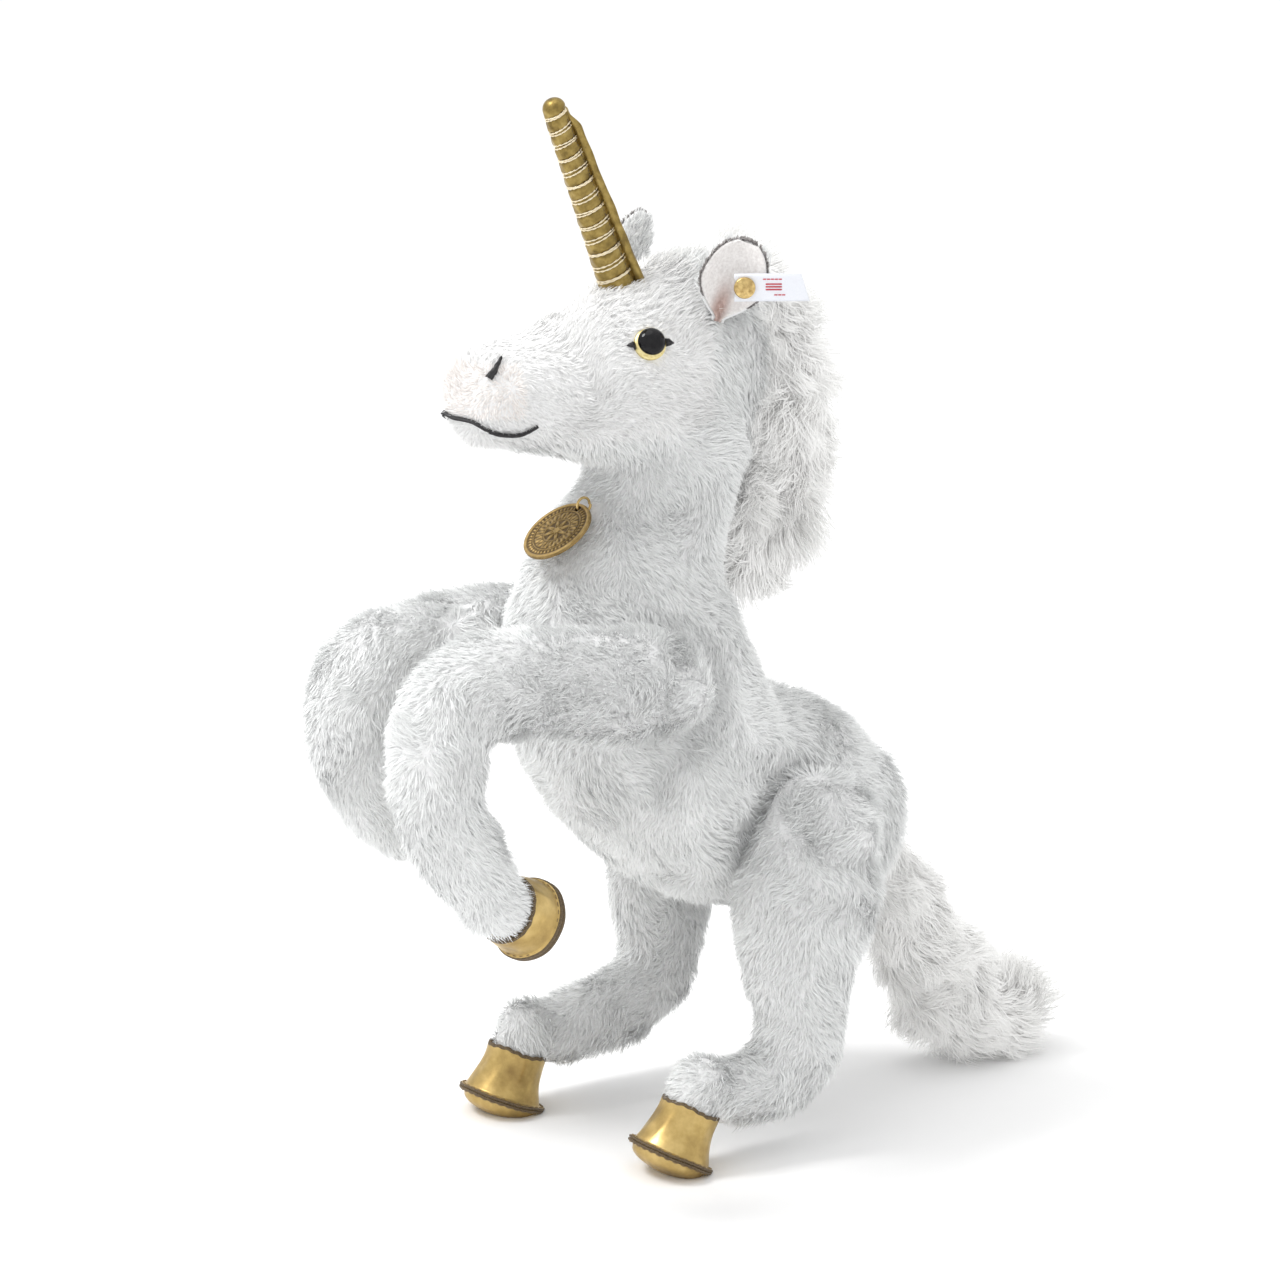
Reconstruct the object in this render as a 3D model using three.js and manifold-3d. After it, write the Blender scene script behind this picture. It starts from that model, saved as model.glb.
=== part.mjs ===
// Plush unicorn rearing on its two hind hooves and its tail, in millimetres.
// +Z is up, the animal faces -Y and its own left side is +X.
// Each sewn body is a pile-fabric cover round a stuffed core. Each leg turns on a
// disc joint: a hardboard disc and a steel washer on each side, held by a cotter pin.
import * as THREE from "three";
import { mergeVertices } from "three/addons/utils/BufferGeometryUtils.js";
import Module from "manifold-3d";

const wasm = await Module();
wasm.setup();

// ---------------------------------------------------------------- dimensions
const GAP = 0.3; // left between pieces that touch
const COVER = 1.6; // backing and pile root of the fur fabric
const LEATHER = 1.2; // metallic leather of the hooves and horn

const FLANK = 29.4; // half width of the trunk where the legs press on it
const LEG_FACE = FLANK + 2 * GAP; // the legs' flat inner faces lie this far from the middle

const DISC_RADIUS = 12; // hardboard joint discs
const DISC_THICK = 1.6;
const WASHER_RADIUS = 5;
const WASHER_THICK = 0.7;
const PIN_RADIUS = 1.5;
const PIN_HEAD_RADIUS = 3;
const PIN_HEAD = 1.4;
const PIN_CLEAR = 0.5; // between the pin and what it passes through

const HORN_LENGTH = 71.5;
const HORN_BASE_RADIUS = 6.4;
const HORN_TIP_RADIUS = 3.7;
const HORN_TURNS = 13; // turns of thread wound on the horn
const THREAD_RADIUS = 0.45;

const EYE_RADIUS = 5.4;
const EYE_DOME = 3.6; // height of the glass
const EYE_BACK = 0.9; // thickness of the gold disc behind the glass
const EYE_SHANK_RADIUS = 0.9;
const EYE_SHANK = 8;

const MEDAL_RADIUS = 12.3;
const MEDAL_THICK = 1.5;
const MEDAL_HOLE = 1.1;
const MEDAL_HOLE_IN = 2.2; // from the medal's edge to the middle of its hole
const RING_RADIUS = 2.4;
const RING_WIRE = 0.45;

const EAR_HEIGHT = 25;
const EAR_HALF_WIDTH = 10.5;
const EAR_CURL = 1.1; // depth of the curl as a share of the half width
const EAR_CLOTH = 1.1; // each of an ear's two layers
const BUTTON_RADIUS = 3.5;
const BUTTON_THICK = 1.6;
const RIVET_RADIUS = 1;
const LABEL_LENGTH = 23;
const LABEL_WIDTH = 9;
const LABEL_THICK = 0.5;
const LABEL_TUCK = 3.2; // how far the label reaches past the button's middle
const LABEL_WAY = [0.46, 0.89, 0]; // the way the label runs from the button

// Stations run [y, z, half width, half depth] along the middle of the animal.
const TRUNK = [
  [95.5, 92, 27, 29],
  [71, 104.5, 36, 37],
  [37, 118, 40, 38.5],
  [15.5, 144.3, 41, 42],
  [9, 171, 40, 39],
  [11, 191, 30, 34.5],
  [20.5, 212, 24, 26.5],
  [28.5, 234, 23, 26],
  [34, 252, 23, 25],
];
const HEAD = [
  [46, 259, 21, 26],
  [30, 260, 25.5, 33],
  [12, 258.5, 27, 32],
  [-5, 256.8, 25.5, 26.5],
  [-22, 256.3, 21, 21],
  [-37, 257, 18.5, 18],
  [-46, 257, 17, 16.8],
];
const MANE = [
  [30, 291, 12, 8],
  [52, 283, 15, 13],
  [67, 261, 16, 17],
  [69, 235, 16, 18],
  [64, 210, 15, 19],
  [56, 188, 12, 13],
];
const TAIL = [
  [105, 90, 11, 11.5],
  [115.5, 69.5, 13, 14.5],
  [128, 46.5, 14.5, 17],
  [141, 26, 15.5, 18.2],
  [158, 15, 15.5, 17],
  [173, 20, 12, 13],
];

// A leg's stations run [out, y, z, half width, half depth] from its joint towards its
// hoof, where out is how far the point lies outwards from the leg's flat inner face.
// at is the middle of its hoof's upper edge, and toe the way the hoof points, with its
// first number outwards.
const SHOULDER = { y: -2, z: 163 };
const HIP = { y: 64, z: 106 };
const FRONT_HOOF = { top: 11.2, bottom: 12.4, flange: 13.4, height: 12.5, bulge: 3 };
const HIND_HOOF = { top: 10.2, bottom: 12.8, flange: 14.8, height: 16.5, bulge: 5 };
const LEGS = [
  {
    name: "front_left",
    side: 1,
    joint: SHOULDER,
    hoof: FRONT_HOOF,
    at: [17, -67.5, 102],
    toe: [-0.27, 0.84, -0.47],
    stations: [
      [12, -2, 163, 20.5, 19.5],
      [13.5, -30, 169, 18.5, 18.5],
      [15.5, -56, 174, 16.5, 17.5],
      [16, -76, 175, 16.5, 17.5],
      [16, -88, 167.5, 16.5, 17.5],
      [16, -92, 154, 15.5, 15.8],
      [16, -91.5, 139, 14.5, 14.8],
      [16.5, -85.5, 125, 13.8, 14],
      [17, -77, 113, 13, 13],
    ],
  },
  {
    name: "front_right",
    side: -1,
    joint: SHOULDER,
    hoof: FRONT_HOOF,
    at: [16.5, -37.5, 99.3],
    toe: [-0.25, 0.92, -0.3],
    stations: [
      [12, -2, 163, 20.5, 19.5],
      [13.5, -24, 163.5, 18.5, 17.8],
      [15, -41, 163.3, 16.5, 16.5],
      [15, -55, 162, 16.5, 17],
      [15, -64.5, 154.3, 16.5, 16.5],
      [15, -67.5, 141.5, 15.5, 16],
      [15, -65, 127, 14.5, 15],
      [15.5, -57, 114, 13.8, 14],
      [16, -46.5, 104, 12.8, 13],
    ],
  },
  {
    name: "hind_left",
    side: 1,
    joint: HIP,
    hoof: HIND_HOOF,
    at: [12, 7, 20.5],
    toe: [0, -0.48, -0.88],
    stations: [
      [12, 65, 107, 20.5, 24],
      [13, 52, 84, 19.5, 26.5],
      [14, 48.5, 64, 16.5, 21.5],
      [13.5, 49.5, 46, 14, 16],
      [12.5, 48, 32, 13.5, 15.5],
      [12, 39, 24.5, 12.5, 13.5],
      [12, 27, 23, 11.6, 11.8],
      [12, 16, 22.5, 10.6, 10.8],
    ],
  },
  {
    name: "hind_right",
    side: -1,
    joint: HIP,
    hoof: HIND_HOOF,
    at: [12, -6, 19.8],
    toe: [0, -0.38, -0.92],
    stations: [
      [12, 65, 107, 20.5, 24],
      [13, 58, 84, 19.5, 24.5],
      [14, 54, 66, 16.5, 20],
      [13.5, 53, 49, 14, 15.5],
      [12.5, 48.5, 36.5, 13.5, 14],
      [12, 36.5, 29, 12.5, 13.5],
      [12, 19, 25.5, 11.8, 13.2],
      [12, 3, 22.5, 10.6, 10.8],
    ],
  },
];

const HORN_AT = { y: 8.7, z: 283.4 }; // where the horn's axis meets the forehead
const HORN_LEAN = 22.5; // degrees forward of upright
const EYE_AT = [23, 3.6, 271.5];
const EYE_NORMAL = [0.82, -0.3, 0.48];
const EAR_AT = [24.5, 30, 279];
const MEDAL_AT = [6, -20.6, 210.2];
const MEDAL_TILT = 36; // degrees that the medal's face leans forwards from level
const BUTTON_AT = [0.64, 0.45]; // the button's place on the left ear: across and up, as shares

// ------------------------------------------------------------------ materials
const material = (color, roughness, metalness = 0) =>
  new THREE.MeshStandardMaterial({ color, roughness, metalness });
const FUR = material(0xf1f1ec, 0.95);
const STUFFING = material(0xe6e0d0, 1);
const GOLD_LEATHER = material(0xb0935a, 0.38, 0.7);
const GOLD_THREAD = material(0xe0c58a, 0.4, 0.8);
const BRASS = material(0xb98f3c, 0.35, 0.9);
const STEEL = material(0x9a9c9e, 0.4, 0.9);
const BOARD = material(0x7a5c3e, 0.9);
const GLASS = material(0x0b0b0d, 0.05);
const IRIS = material(0xb8a55c, 0.35, 0.4);
const FELT = material(0xd9d3cb, 0.95);
const RIBBON = material(0xeef0f4, 0.7);

// ---------------------------------------------------------------- shape tools
// A three.js geometry as a manifold-3d solid, and back.
function solid(geometry) {
  const bare = geometry.clone();
  bare.deleteAttribute("normal");
  bare.deleteAttribute("uv");
  const merged = mergeVertices(bare, 1e-4);
  return new wasm.Manifold(
    new wasm.Mesh({
      numProp: 3,
      vertProperties: new Float32Array(merged.attributes.position.array),
      triVerts: new Uint32Array(merged.index.array),
    }),
  );
}

function geometryOf(body) {
  const mesh = body.getMesh();
  const places = new Float32Array(mesh.numVert * 3);
  for (let i = 0; i < mesh.numVert; i++)
    places.set(mesh.vertProperties.subarray(i * mesh.numProp, i * mesh.numProp + 3), i * 3);
  return new THREE.BufferGeometry()
    .setAttribute("position", new THREE.BufferAttribute(places, 3))
    .setIndex(new THREE.BufferAttribute(new Uint32Array(mesh.triVerts), 1));
}

// A closed surface from rings of points, in order along it, and a pole at each end.
function closedRings(rings, firstPole, lastPole) {
  const sides = rings[0].length;
  const points = [...rings.flat(), firstPole, lastPole];
  const first = rings.length * sides;
  const index = [];
  for (let j = 0; j < sides; j++) {
    const k = (j + 1) % sides;
    index.push(first, k, j);
    for (let i = 0; i + 1 < rings.length; i++) {
      const here = i * sides;
      const next = here + sides;
      index.push(here + j, here + k, next + j, here + k, next + k, next + j);
    }
    const last = (rings.length - 1) * sides;
    index.push(last + j, last + k, first + 1);
  }
  return new THREE.BufferGeometry().setFromPoints(points).setIndex(index);
}

// A stuffed tube through stations [x, y, z, half width, half depth], with a dome at
// each end. grow moves its whole surface outwards, or inwards if it is negative.
function tube(stations, { sides = 16, steps = 2, domes = [8, 8], grow = 0 } = {}) {
  const line = new THREE.CatmullRomCurve3(
    stations.map((s) => new THREE.Vector3(s[0], s[1], s[2])),
  );
  const size = new THREE.CatmullRomCurve3(
    stations.map((s) => new THREE.Vector3(s[3], s[4], 0)),
  );
  const across = new THREE.Vector3(1, 0, 0);
  const ring = (t, share, shift) => {
    const along = line.getTangent(t);
    const normal = along.clone().cross(across).normalize();
    const lateral = normal.clone().cross(along).normalize();
    const half = size.getPoint(t).addScalar(grow);
    const middle = line.getPoint(t).addScaledVector(along, shift);
    return Array.from({ length: sides }, (_, j) => {
      const turn = (2 * Math.PI * j) / sides;
      return middle
        .clone()
        .addScaledVector(lateral, half.x * share * Math.cos(turn))
        .addScaledVector(normal, half.y * share * Math.sin(turn));
    });
  };
  const bends = [Math.PI / 3, Math.PI / 6];
  const [head, tail] = domes.map((d) => d + grow);
  const rings = bends.map((b) => ring(0, Math.cos(b), -head * Math.sin(b)));
  const count = (stations.length - 1) * steps;
  for (let i = 0; i <= count; i++) rings.push(ring(i / count, 1, 0));
  for (const b of [...bends].reverse()) rings.push(ring(1, Math.cos(b), tail * Math.sin(b)));
  return closedRings(
    rings,
    line.getPoint(0).addScaledVector(line.getTangent(0), -head),
    line.getPoint(1).addScaledVector(line.getTangent(1), tail),
  );
}

const middle = (stations) => stations.map(([y, z, a, b]) => [0, y, z, a, b]);

// Turns a geometry made about +Y so that +Y points along a direction, and moves it.
function aim(geometry, direction, place) {
  const turn = new THREE.Quaternion().setFromUnitVectors(
    new THREE.Vector3(0, 1, 0),
    new THREE.Vector3(...direction).normalize(),
  );
  return geometry.applyQuaternion(turn).translate(...place);
}

// A turned body: profile points [radius, height] from the axis round to the axis.
const lathe = (profile, sides) =>
  new THREE.LatheGeometry(
    profile.map(([r, h]) => new THREE.Vector2(r, h)),
    sides,
  );

// A disc or washer lying between two x planes, with a round hole.
function plate(radius, hole, fromX, toX, y, z, sides = 20) {
  const [low, high] = [Math.min(fromX, toX), Math.max(fromX, toX)];
  const profile = [
    [hole, low],
    [radius, low],
    [radius, high],
    [hole, high],
    [hole, low],
  ];
  return aim(lathe(profile, sides), [1, 0, 0], [0, y, z]);
}

function rod(radius, fromX, toX, y, z, sides = 10) {
  const long = Math.abs(toX - fromX);
  const bar = new THREE.CylinderGeometry(radius, radius, long, sides);
  return aim(bar, [1, 0, 0], [(fromX + toX) / 2, y, z]);
}

function block(low, high) {
  const size = high.map((v, i) => v - low[i]);
  return new THREE.BoxGeometry(...size).translate(...high.map((v, i) => (v + low[i]) / 2));
}

// A sheet of cloth between two offsets of a surface point(u, v), with u and v from 0 to 1.
function sheet(point, columns, rows, from, to) {
  const at = (u, v) => new THREE.Vector3(...point(u, v));
  const normal = (u, v) => {
    const e = 1e-3;
    const du = at(u + e, v).sub(at(u - e, v));
    const dv = at(u, v + e).sub(at(u, v - e));
    return du.cross(dv).normalize();
  };
  const points = [];
  for (const off of [from, to])
    for (let i = 0; i <= rows; i++)
      for (let j = 0; j <= columns; j++)
        points.push(
          at(j / columns, i / rows).addScaledVector(normal(j / columns, i / rows), off),
        );
  const wide = columns + 1;
  const layer = wide * (rows + 1);
  const index = [];
  const quad = (a, b, c, d) => index.push(a, b, c, a, c, d);
  for (let i = 0; i < rows; i++)
    for (let j = 0; j < columns; j++) {
      const a = i * wide + j;
      quad(a, a + wide, a + wide + 1, a + 1);
      quad(a + layer, a + 1 + layer, a + wide + 1 + layer, a + wide + layer);
    }
  for (let j = 0; j < columns; j++) {
    const top = rows * wide + j;
    quad(j, j + 1, j + 1 + layer, j + layer);
    quad(top + 1, top, top + layer, top + 1 + layer);
  }
  for (let i = 0; i < rows; i++) {
    const left = i * wide;
    const right = left + columns;
    quad(left + wide, left, left + layer, left + wide + layer);
    quad(right, right + wide, right + wide + layer, right + layer);
  }
  return new THREE.BufferGeometry().setFromPoints(points).setIndex(index);
}

// ------------------------------------------------------------------- assembly
const unicorn = new THREE.Group();

function add(name, shape, look) {
  const geometry = shape.isBufferGeometry ? shape : geometryOf(shape);
  const mesh = new THREE.Mesh(geometry, look);
  mesh.name = name;
  unicorn.add(mesh);
}

const FAR = 400;
const floorCut = solid(block([-FAR, -FAR, -FAR], [FAR, FAR, 0]));
const leftHalf = solid(block([GAP / 2, -FAR, -FAR], [FAR, FAR, FAR]));
const rightHalf = solid(block([-FAR, -FAR, -FAR], [-GAP / 2, FAR, FAR]));

// The trunk, neck and head as one solid, moved outwards by grow.
function bodySolid(grow) {
  const trunk = solid(tube(middle(TRUNK), { sides: 20, steps: 1, domes: [17, 14], grow }));
  const head = solid(tube(middle(HEAD), { sides: 18, steps: 1, domes: [12, 10.5], grow }));
  const flanks = block([-FLANK - grow, -FAR, -FAR], [FLANK + grow, FAR, FAR]);
  return trunk.add(head).intersect(solid(flanks));
}
const bodyOuter = bodySolid(0);
const bodyInner = bodySolid(-COVER);
const bodyClear = bodySolid(GAP);
let bodyCore = bodySolid(-COVER - GAP);
let bodyCover = bodyOuter.subtract(bodyInner);

// Where each joint's pieces lie along X, on the left side, from the middle outwards.
const bodyDiscFace = FLANK - COVER - GAP;
const bodyWasherFace = bodyDiscFace - DISC_THICK - GAP;
const pinEndFace = bodyWasherFace - WASHER_THICK - GAP;
const limbDiscFace = LEG_FACE + COVER + GAP;
const limbWasherFace = limbDiscFace + DISC_THICK + GAP;
const pinHeadFace = limbWasherFace + WASHER_THICK + GAP;
const pinHole = PIN_RADIUS + PIN_CLEAR;

// One joint's hardware, added as nodes. Returns the room it needs in the body and in the leg.
function addJoint(name, side, { y, z }) {
  const at = (x) => side * x;
  const clear = DISC_RADIUS + PIN_CLEAR;
  add(
    `${name}_body_disc`,
    plate(DISC_RADIUS, pinHole, at(bodyDiscFace - DISC_THICK), at(bodyDiscFace), y, z),
    BOARD,
  );
  add(
    `${name}_body_washer`,
    plate(WASHER_RADIUS, pinHole, at(bodyWasherFace - WASHER_THICK), at(bodyWasherFace), y, z, 12),
    STEEL,
  );
  add(
    `${name}_limb_disc`,
    plate(DISC_RADIUS, pinHole, at(limbDiscFace), at(limbDiscFace + DISC_THICK), y, z),
    BOARD,
  );
  add(
    `${name}_limb_washer`,
    plate(WASHER_RADIUS, pinHole, at(limbWasherFace), at(limbWasherFace + WASHER_THICK), y, z, 12),
    STEEL,
  );
  const shaft = solid(rod(PIN_RADIUS, at(pinEndFace - PIN_HEAD), at(pinHeadFace + PIN_HEAD), y, z));
  const head = solid(rod(PIN_HEAD_RADIUS, at(pinHeadFace), at(pinHeadFace + PIN_HEAD), y, z));
  const end = solid(rod(PIN_HEAD_RADIUS, at(pinEndFace - PIN_HEAD), at(pinEndFace), y, z));
  add(`${name}_cotter_pin`, shaft.add(head).add(end), STEEL);
  return {
    body: solid(rod(clear, at(pinEndFace - PIN_HEAD - GAP), at(FLANK - COVER), y, z, 20)),
    limb: solid(rod(clear, at(LEG_FACE + COVER), at(pinHeadFace + PIN_HEAD + GAP), y, z, 20)),
    hole: solid(rod(pinHole, at(pinEndFace), at(pinHeadFace), y, z)),
  };
}

// A hoof at a place, pointing along toe: a leather wall, and a sole with a sewn flange.
function hoofShapes({ top, bottom, flange, height, bulge }, place, toe) {
  const edge = LEATHER;
  const wall = [
    [top, 0],
    [bottom, height],
    [bottom - LEATHER, height],
    [top - LEATHER, 0],
    [top, 0],
  ];
  const face = height + GAP;
  const sole = [
    [0, face],
    [flange, face],
    [flange, face + edge],
    [bottom - 1, face + edge],
    [bottom * 0.75, face + edge + bulge * 0.55],
    [bottom * 0.4, face + edge + bulge * 0.9],
    [0, face + edge + bulge],
  ];
  const filling = [
    [0, -4],
    [top * 0.45, -4],
    [top * 0.45, GAP],
    [top - LEATHER - GAP, GAP],
    [bottom - LEATHER - GAP, height],
    [0, height],
  ];
  const room = new THREE.CylinderGeometry(flange + 5, flange + 5, 2 * height, 16);
  room.translate(0, height, 0);
  const put = (g) => solid(aim(g, toe, place));
  return {
    wall: put(lathe(wall, 20)).subtract(floorCut),
    sole: put(lathe(sole, 24)).subtract(floorCut),
    filling: put(lathe(filling, 16)),
    room: put(room),
  };
}

for (const leg of LEGS) {
  const { name, side, hoof } = leg;
  const room = addJoint(name, side, leg.joint);
  const place = ([out, ...rest]) => [side * (LEG_FACE + out), ...rest];
  const stations = leg.stations.map(place);
  const at = place(leg.at);
  const toe = [side * leg.toe[0], leg.toe[1], leg.toe[2]];
  const outside = solid(
    block([side > 0 ? LEG_FACE : -FAR, -FAR, -FAR], [side > 0 ? FAR : -LEG_FACE, FAR, FAR]),
  );
  const whole = (grow) => {
    const bare = solid(tube(stations, { sides: 14, steps: 1, domes: [17, 8], grow }));
    const wide = hoof.top - 0.4 + grow;
    const cuff = aim(new THREE.CylinderGeometry(wide, wide, 24 + 2 * grow, 16), toe, at);
    return bare.add(solid(cuff)).intersect(outside.translate([-side * grow, 0, 0]));
  };
  const shapes = hoofShapes(hoof, at, toe);
  bodyCore = bodyCore.subtract(room.body);
  bodyCover = bodyCover.subtract(room.hole);
  add(
    `${name}_leg_cover`,
    whole(0).subtract(whole(-COVER)).subtract(room.hole).subtract(shapes.room),
    FUR,
  );
  add(
    `${name}_leg_stuffing`,
    whole(-COVER - GAP).subtract(room.limb).subtract(shapes.room).add(shapes.filling),
    STUFFING,
  );
  add(`${name}_hoof_wall`, shapes.wall, GOLD_LEATHER);
  add(`${name}_hoof_sole`, shapes.sole, GOLD_LEATHER);
}

// The horn: a stuffed leather cone with thread wound round it, standing on the forehead.
const lean = (HORN_LEAN * Math.PI) / 180;
const hornWay = [0, -Math.sin(lean), Math.cos(lean)];
const hornAt = [0, HORN_AT.y, HORN_AT.z];
function horn(grow, under) {
  const tip = HORN_TIP_RADIUS + grow;
  const profile = [
    [0, -under],
    [HORN_BASE_RADIUS + grow, -under],
    [HORN_BASE_RADIUS + grow, 0],
    [tip, HORN_LENGTH - HORN_TIP_RADIUS],
    [tip * 0.7, HORN_LENGTH - HORN_TIP_RADIUS + tip * 0.7],
    [0, HORN_LENGTH + grow],
  ];
  return solid(aim(lathe(profile, 16), hornWay, hornAt));
}
const HORN_ROOT = 6; // how far the cone's outline runs down inside the head before it is cut
const hornShell = horn(0, HORN_ROOT).subtract(horn(-LEATHER, 2 * HORN_ROOT));
add("horn_cover", hornShell.subtract(bodyClear), GOLD_LEATHER);
add("horn_stuffing", horn(-LEATHER - GAP, HORN_ROOT).subtract(bodyClear), STUFFING);
{
  const from = 0.09; // shares of the horn's length that the thread covers
  const to = 0.93;
  const turns = new (class extends THREE.Curve {
    getPoint(t) {
      const share = from + (to - from) * t;
      const wide =
        HORN_BASE_RADIUS +
        (HORN_TIP_RADIUS - HORN_BASE_RADIUS) * Math.min(1, share / (1 - HORN_TIP_RADIUS / HORN_LENGTH));
      const radius = wide + THREAD_RADIUS + GAP;
      const turn = -2 * Math.PI * HORN_TURNS * t;
      return new THREE.Vector3(
        radius * Math.cos(turn),
        share * HORN_LENGTH,
        radius * Math.sin(turn),
      );
    }
  })();
  const section = new THREE.Shape(
    [0, 1, 2].map((i) => {
      const turn = (2 * Math.PI * i) / 3;
      return new THREE.Vector2(THREAD_RADIUS * Math.cos(turn), THREAD_RADIUS * Math.sin(turn));
    }),
  );
  const wound = new THREE.ExtrudeGeometry(section, {
    steps: HORN_TURNS * 10,
    extrudePath: turns,
    bevelEnabled: false,
  });
  add("horn_thread", aim(wound, hornWay, hornAt), GOLD_THREAD);
}

// Eyes: a glass dome on a gold disc, with a wire shank that runs into the head.
for (const [name, side] of [["left", 1], ["right", -1]]) {
  const way = [side * EYE_NORMAL[0], EYE_NORMAL[1], EYE_NORMAL[2]];
  const place = [side * EYE_AT[0], EYE_AT[1], EYE_AT[2]];
  const put = (g) => aim(g, way, place);
  const glass = lathe(
    [
      [0, EYE_BACK + GAP],
      [EYE_RADIUS, EYE_BACK + GAP],
      [EYE_RADIUS * 0.85, EYE_BACK + EYE_DOME * 0.6],
      [EYE_RADIUS * 0.5, EYE_BACK + EYE_DOME * 0.92],
      [0, EYE_BACK + EYE_DOME],
    ],
    16,
  );
  const back = solid(put(lathe(
    [
      [0, 0],
      [EYE_RADIUS, 0],
      [EYE_RADIUS, EYE_BACK],
      [0, EYE_BACK],
    ],
    16,
  )));
  const shank = new THREE.CylinderGeometry(EYE_SHANK_RADIUS, EYE_SHANK_RADIUS, EYE_SHANK, 8);
  shank.translate(0, -EYE_SHANK / 2 - GAP, 0);
  const socket = new THREE.CylinderGeometry(EYE_RADIUS + GAP, EYE_RADIUS + GAP, EYE_SHANK, 16);
  socket.translate(0, EYE_SHANK / 2 - GAP, 0);
  const wire = EYE_SHANK_RADIUS + GAP;
  const hole = new THREE.CylinderGeometry(wire, wire, EYE_SHANK + 2, 8);
  hole.translate(0, -EYE_SHANK / 2, 0);
  const pit = solid(put(socket)).add(solid(put(hole)));
  bodyCover = bodyCover.subtract(pit);
  bodyCore = bodyCore.subtract(pit);
  add(`${name}_eye_glass`, put(glass), GLASS);
  add(`${name}_eye_disc`, back, IRIS);
  add(`${name}_eye_shank`, put(shank), STEEL);
}

// Ears: a cupped leaf of two layers, open forwards and outwards. Its front half curls
// round more than its rear half.
function earPoint(side) {
  const up = new THREE.Vector3(side * 0.25, 0.25, 0.93).normalize();
  const facing = new THREE.Vector3(side * 0.8, -0.6, 0.1);
  facing.addScaledVector(up, -facing.dot(up)).normalize();
  const across = up.clone().cross(facing).normalize();
  return (u, v) => {
    const half = EAR_HALF_WIDTH * Math.sin(Math.PI * (0.16 + 0.78 * Math.min(v, 1.05)));
    const share = 2 * u - 1;
    const towardsFront = share * side < 0;
    const curl = (1 - 0.75 * v) * (towardsFront ? EAR_CURL : EAR_CURL * 0.35);
    return new THREE.Vector3(side * EAR_AT[0], EAR_AT[1], EAR_AT[2])
      .addScaledVector(up, EAR_HEIGHT * v)
      .addScaledVector(across, half * share)
      .addScaledVector(facing, half * curl * share ** 2 - 1)
      .toArray();
  };
}
for (const [name, side] of [["left", 1], ["right", -1]]) {
  const leaf = earPoint(side);
  const back = solid(sheet(leaf, 8, 6, -EAR_CLOTH, 0)).subtract(bodyClear);
  const lining = solid(sheet(leaf, 8, 6, GAP, GAP + EAR_CLOTH)).subtract(bodyClear);
  if (side < 0) {
    add(`${name}_ear_back`, back, FUR);
    add(`${name}_ear_lining`, lining, FELT);
    continue;
  }
  // A rivet button holds a ribbon label that runs back across the ear's rim.
  const [u, v] = BUTTON_AT;
  const seat = new THREE.Vector3(...leaf(u, v));
  const along = new THREE.Vector3(...LABEL_WAY).normalize();
  const rise = new THREE.Vector3(0, 0, 1).addScaledVector(along, -along.z).normalize();
  const out = along.clone().cross(rise).normalize();
  const place = (g) =>
    g.applyMatrix4(new THREE.Matrix4().makeBasis(along, rise, out)).translate(...seat);
  // The label clears the highest part of the ear that it crosses.
  let crossed = 0;
  for (const across of [u - 0.15, u, 0.8, 0.9, 1])
    for (const upwards of [v - 0.25, v - 0.12, v, v + 0.12, v + 0.25])
      crossed = Math.max(crossed, new THREE.Vector3(...leaf(across, upwards)).sub(seat).dot(out));
  const lift = crossed + EAR_CLOTH + 2.5 * GAP;
  const strip = new THREE.BoxGeometry(LABEL_LENGTH, LABEL_WIDTH, LABEL_THICK);
  strip.translate(LABEL_LENGTH / 2 - LABEL_TUCK, 0, lift + LABEL_THICK / 2);
  const stem = (radius, from, to) =>
    new THREE.CylinderGeometry(radius, radius, to - from, 12)
      .rotateX(Math.PI / 2)
      .translate(0, 0, (from + to) / 2);
  const capFrom = lift + LABEL_THICK + GAP;
  const rivet = [-EAR_CLOTH - 2.4, -EAR_CLOTH - 1.2];
  const shaft = solid(place(stem(RIVET_RADIUS, rivet[0], capFrom + 0.2)));
  const cap = lathe(
    [
      [0, capFrom],
      [BUTTON_RADIUS, capFrom],
      [BUTTON_RADIUS * 0.86, capFrom + BUTTON_THICK * 0.7],
      [0, capFrom + BUTTON_THICK],
    ],
    16,
  ).rotateX(Math.PI / 2);
  const washer = solid(place(stem(BUTTON_RADIUS * 0.7, ...rivet)));
  const bore = solid(place(stem(RIVET_RADIUS + GAP, rivet[0], capFrom)));
  add(`${name}_ear_back`, back.subtract(bore), FUR);
  add(`${name}_ear_lining`, lining.subtract(bore), FELT);
  add("ear_button", solid(place(cap)).add(shaft).add(washer), BRASS);
  add("ear_label", solid(place(strip)).subtract(bore), RIBBON);
}

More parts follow.
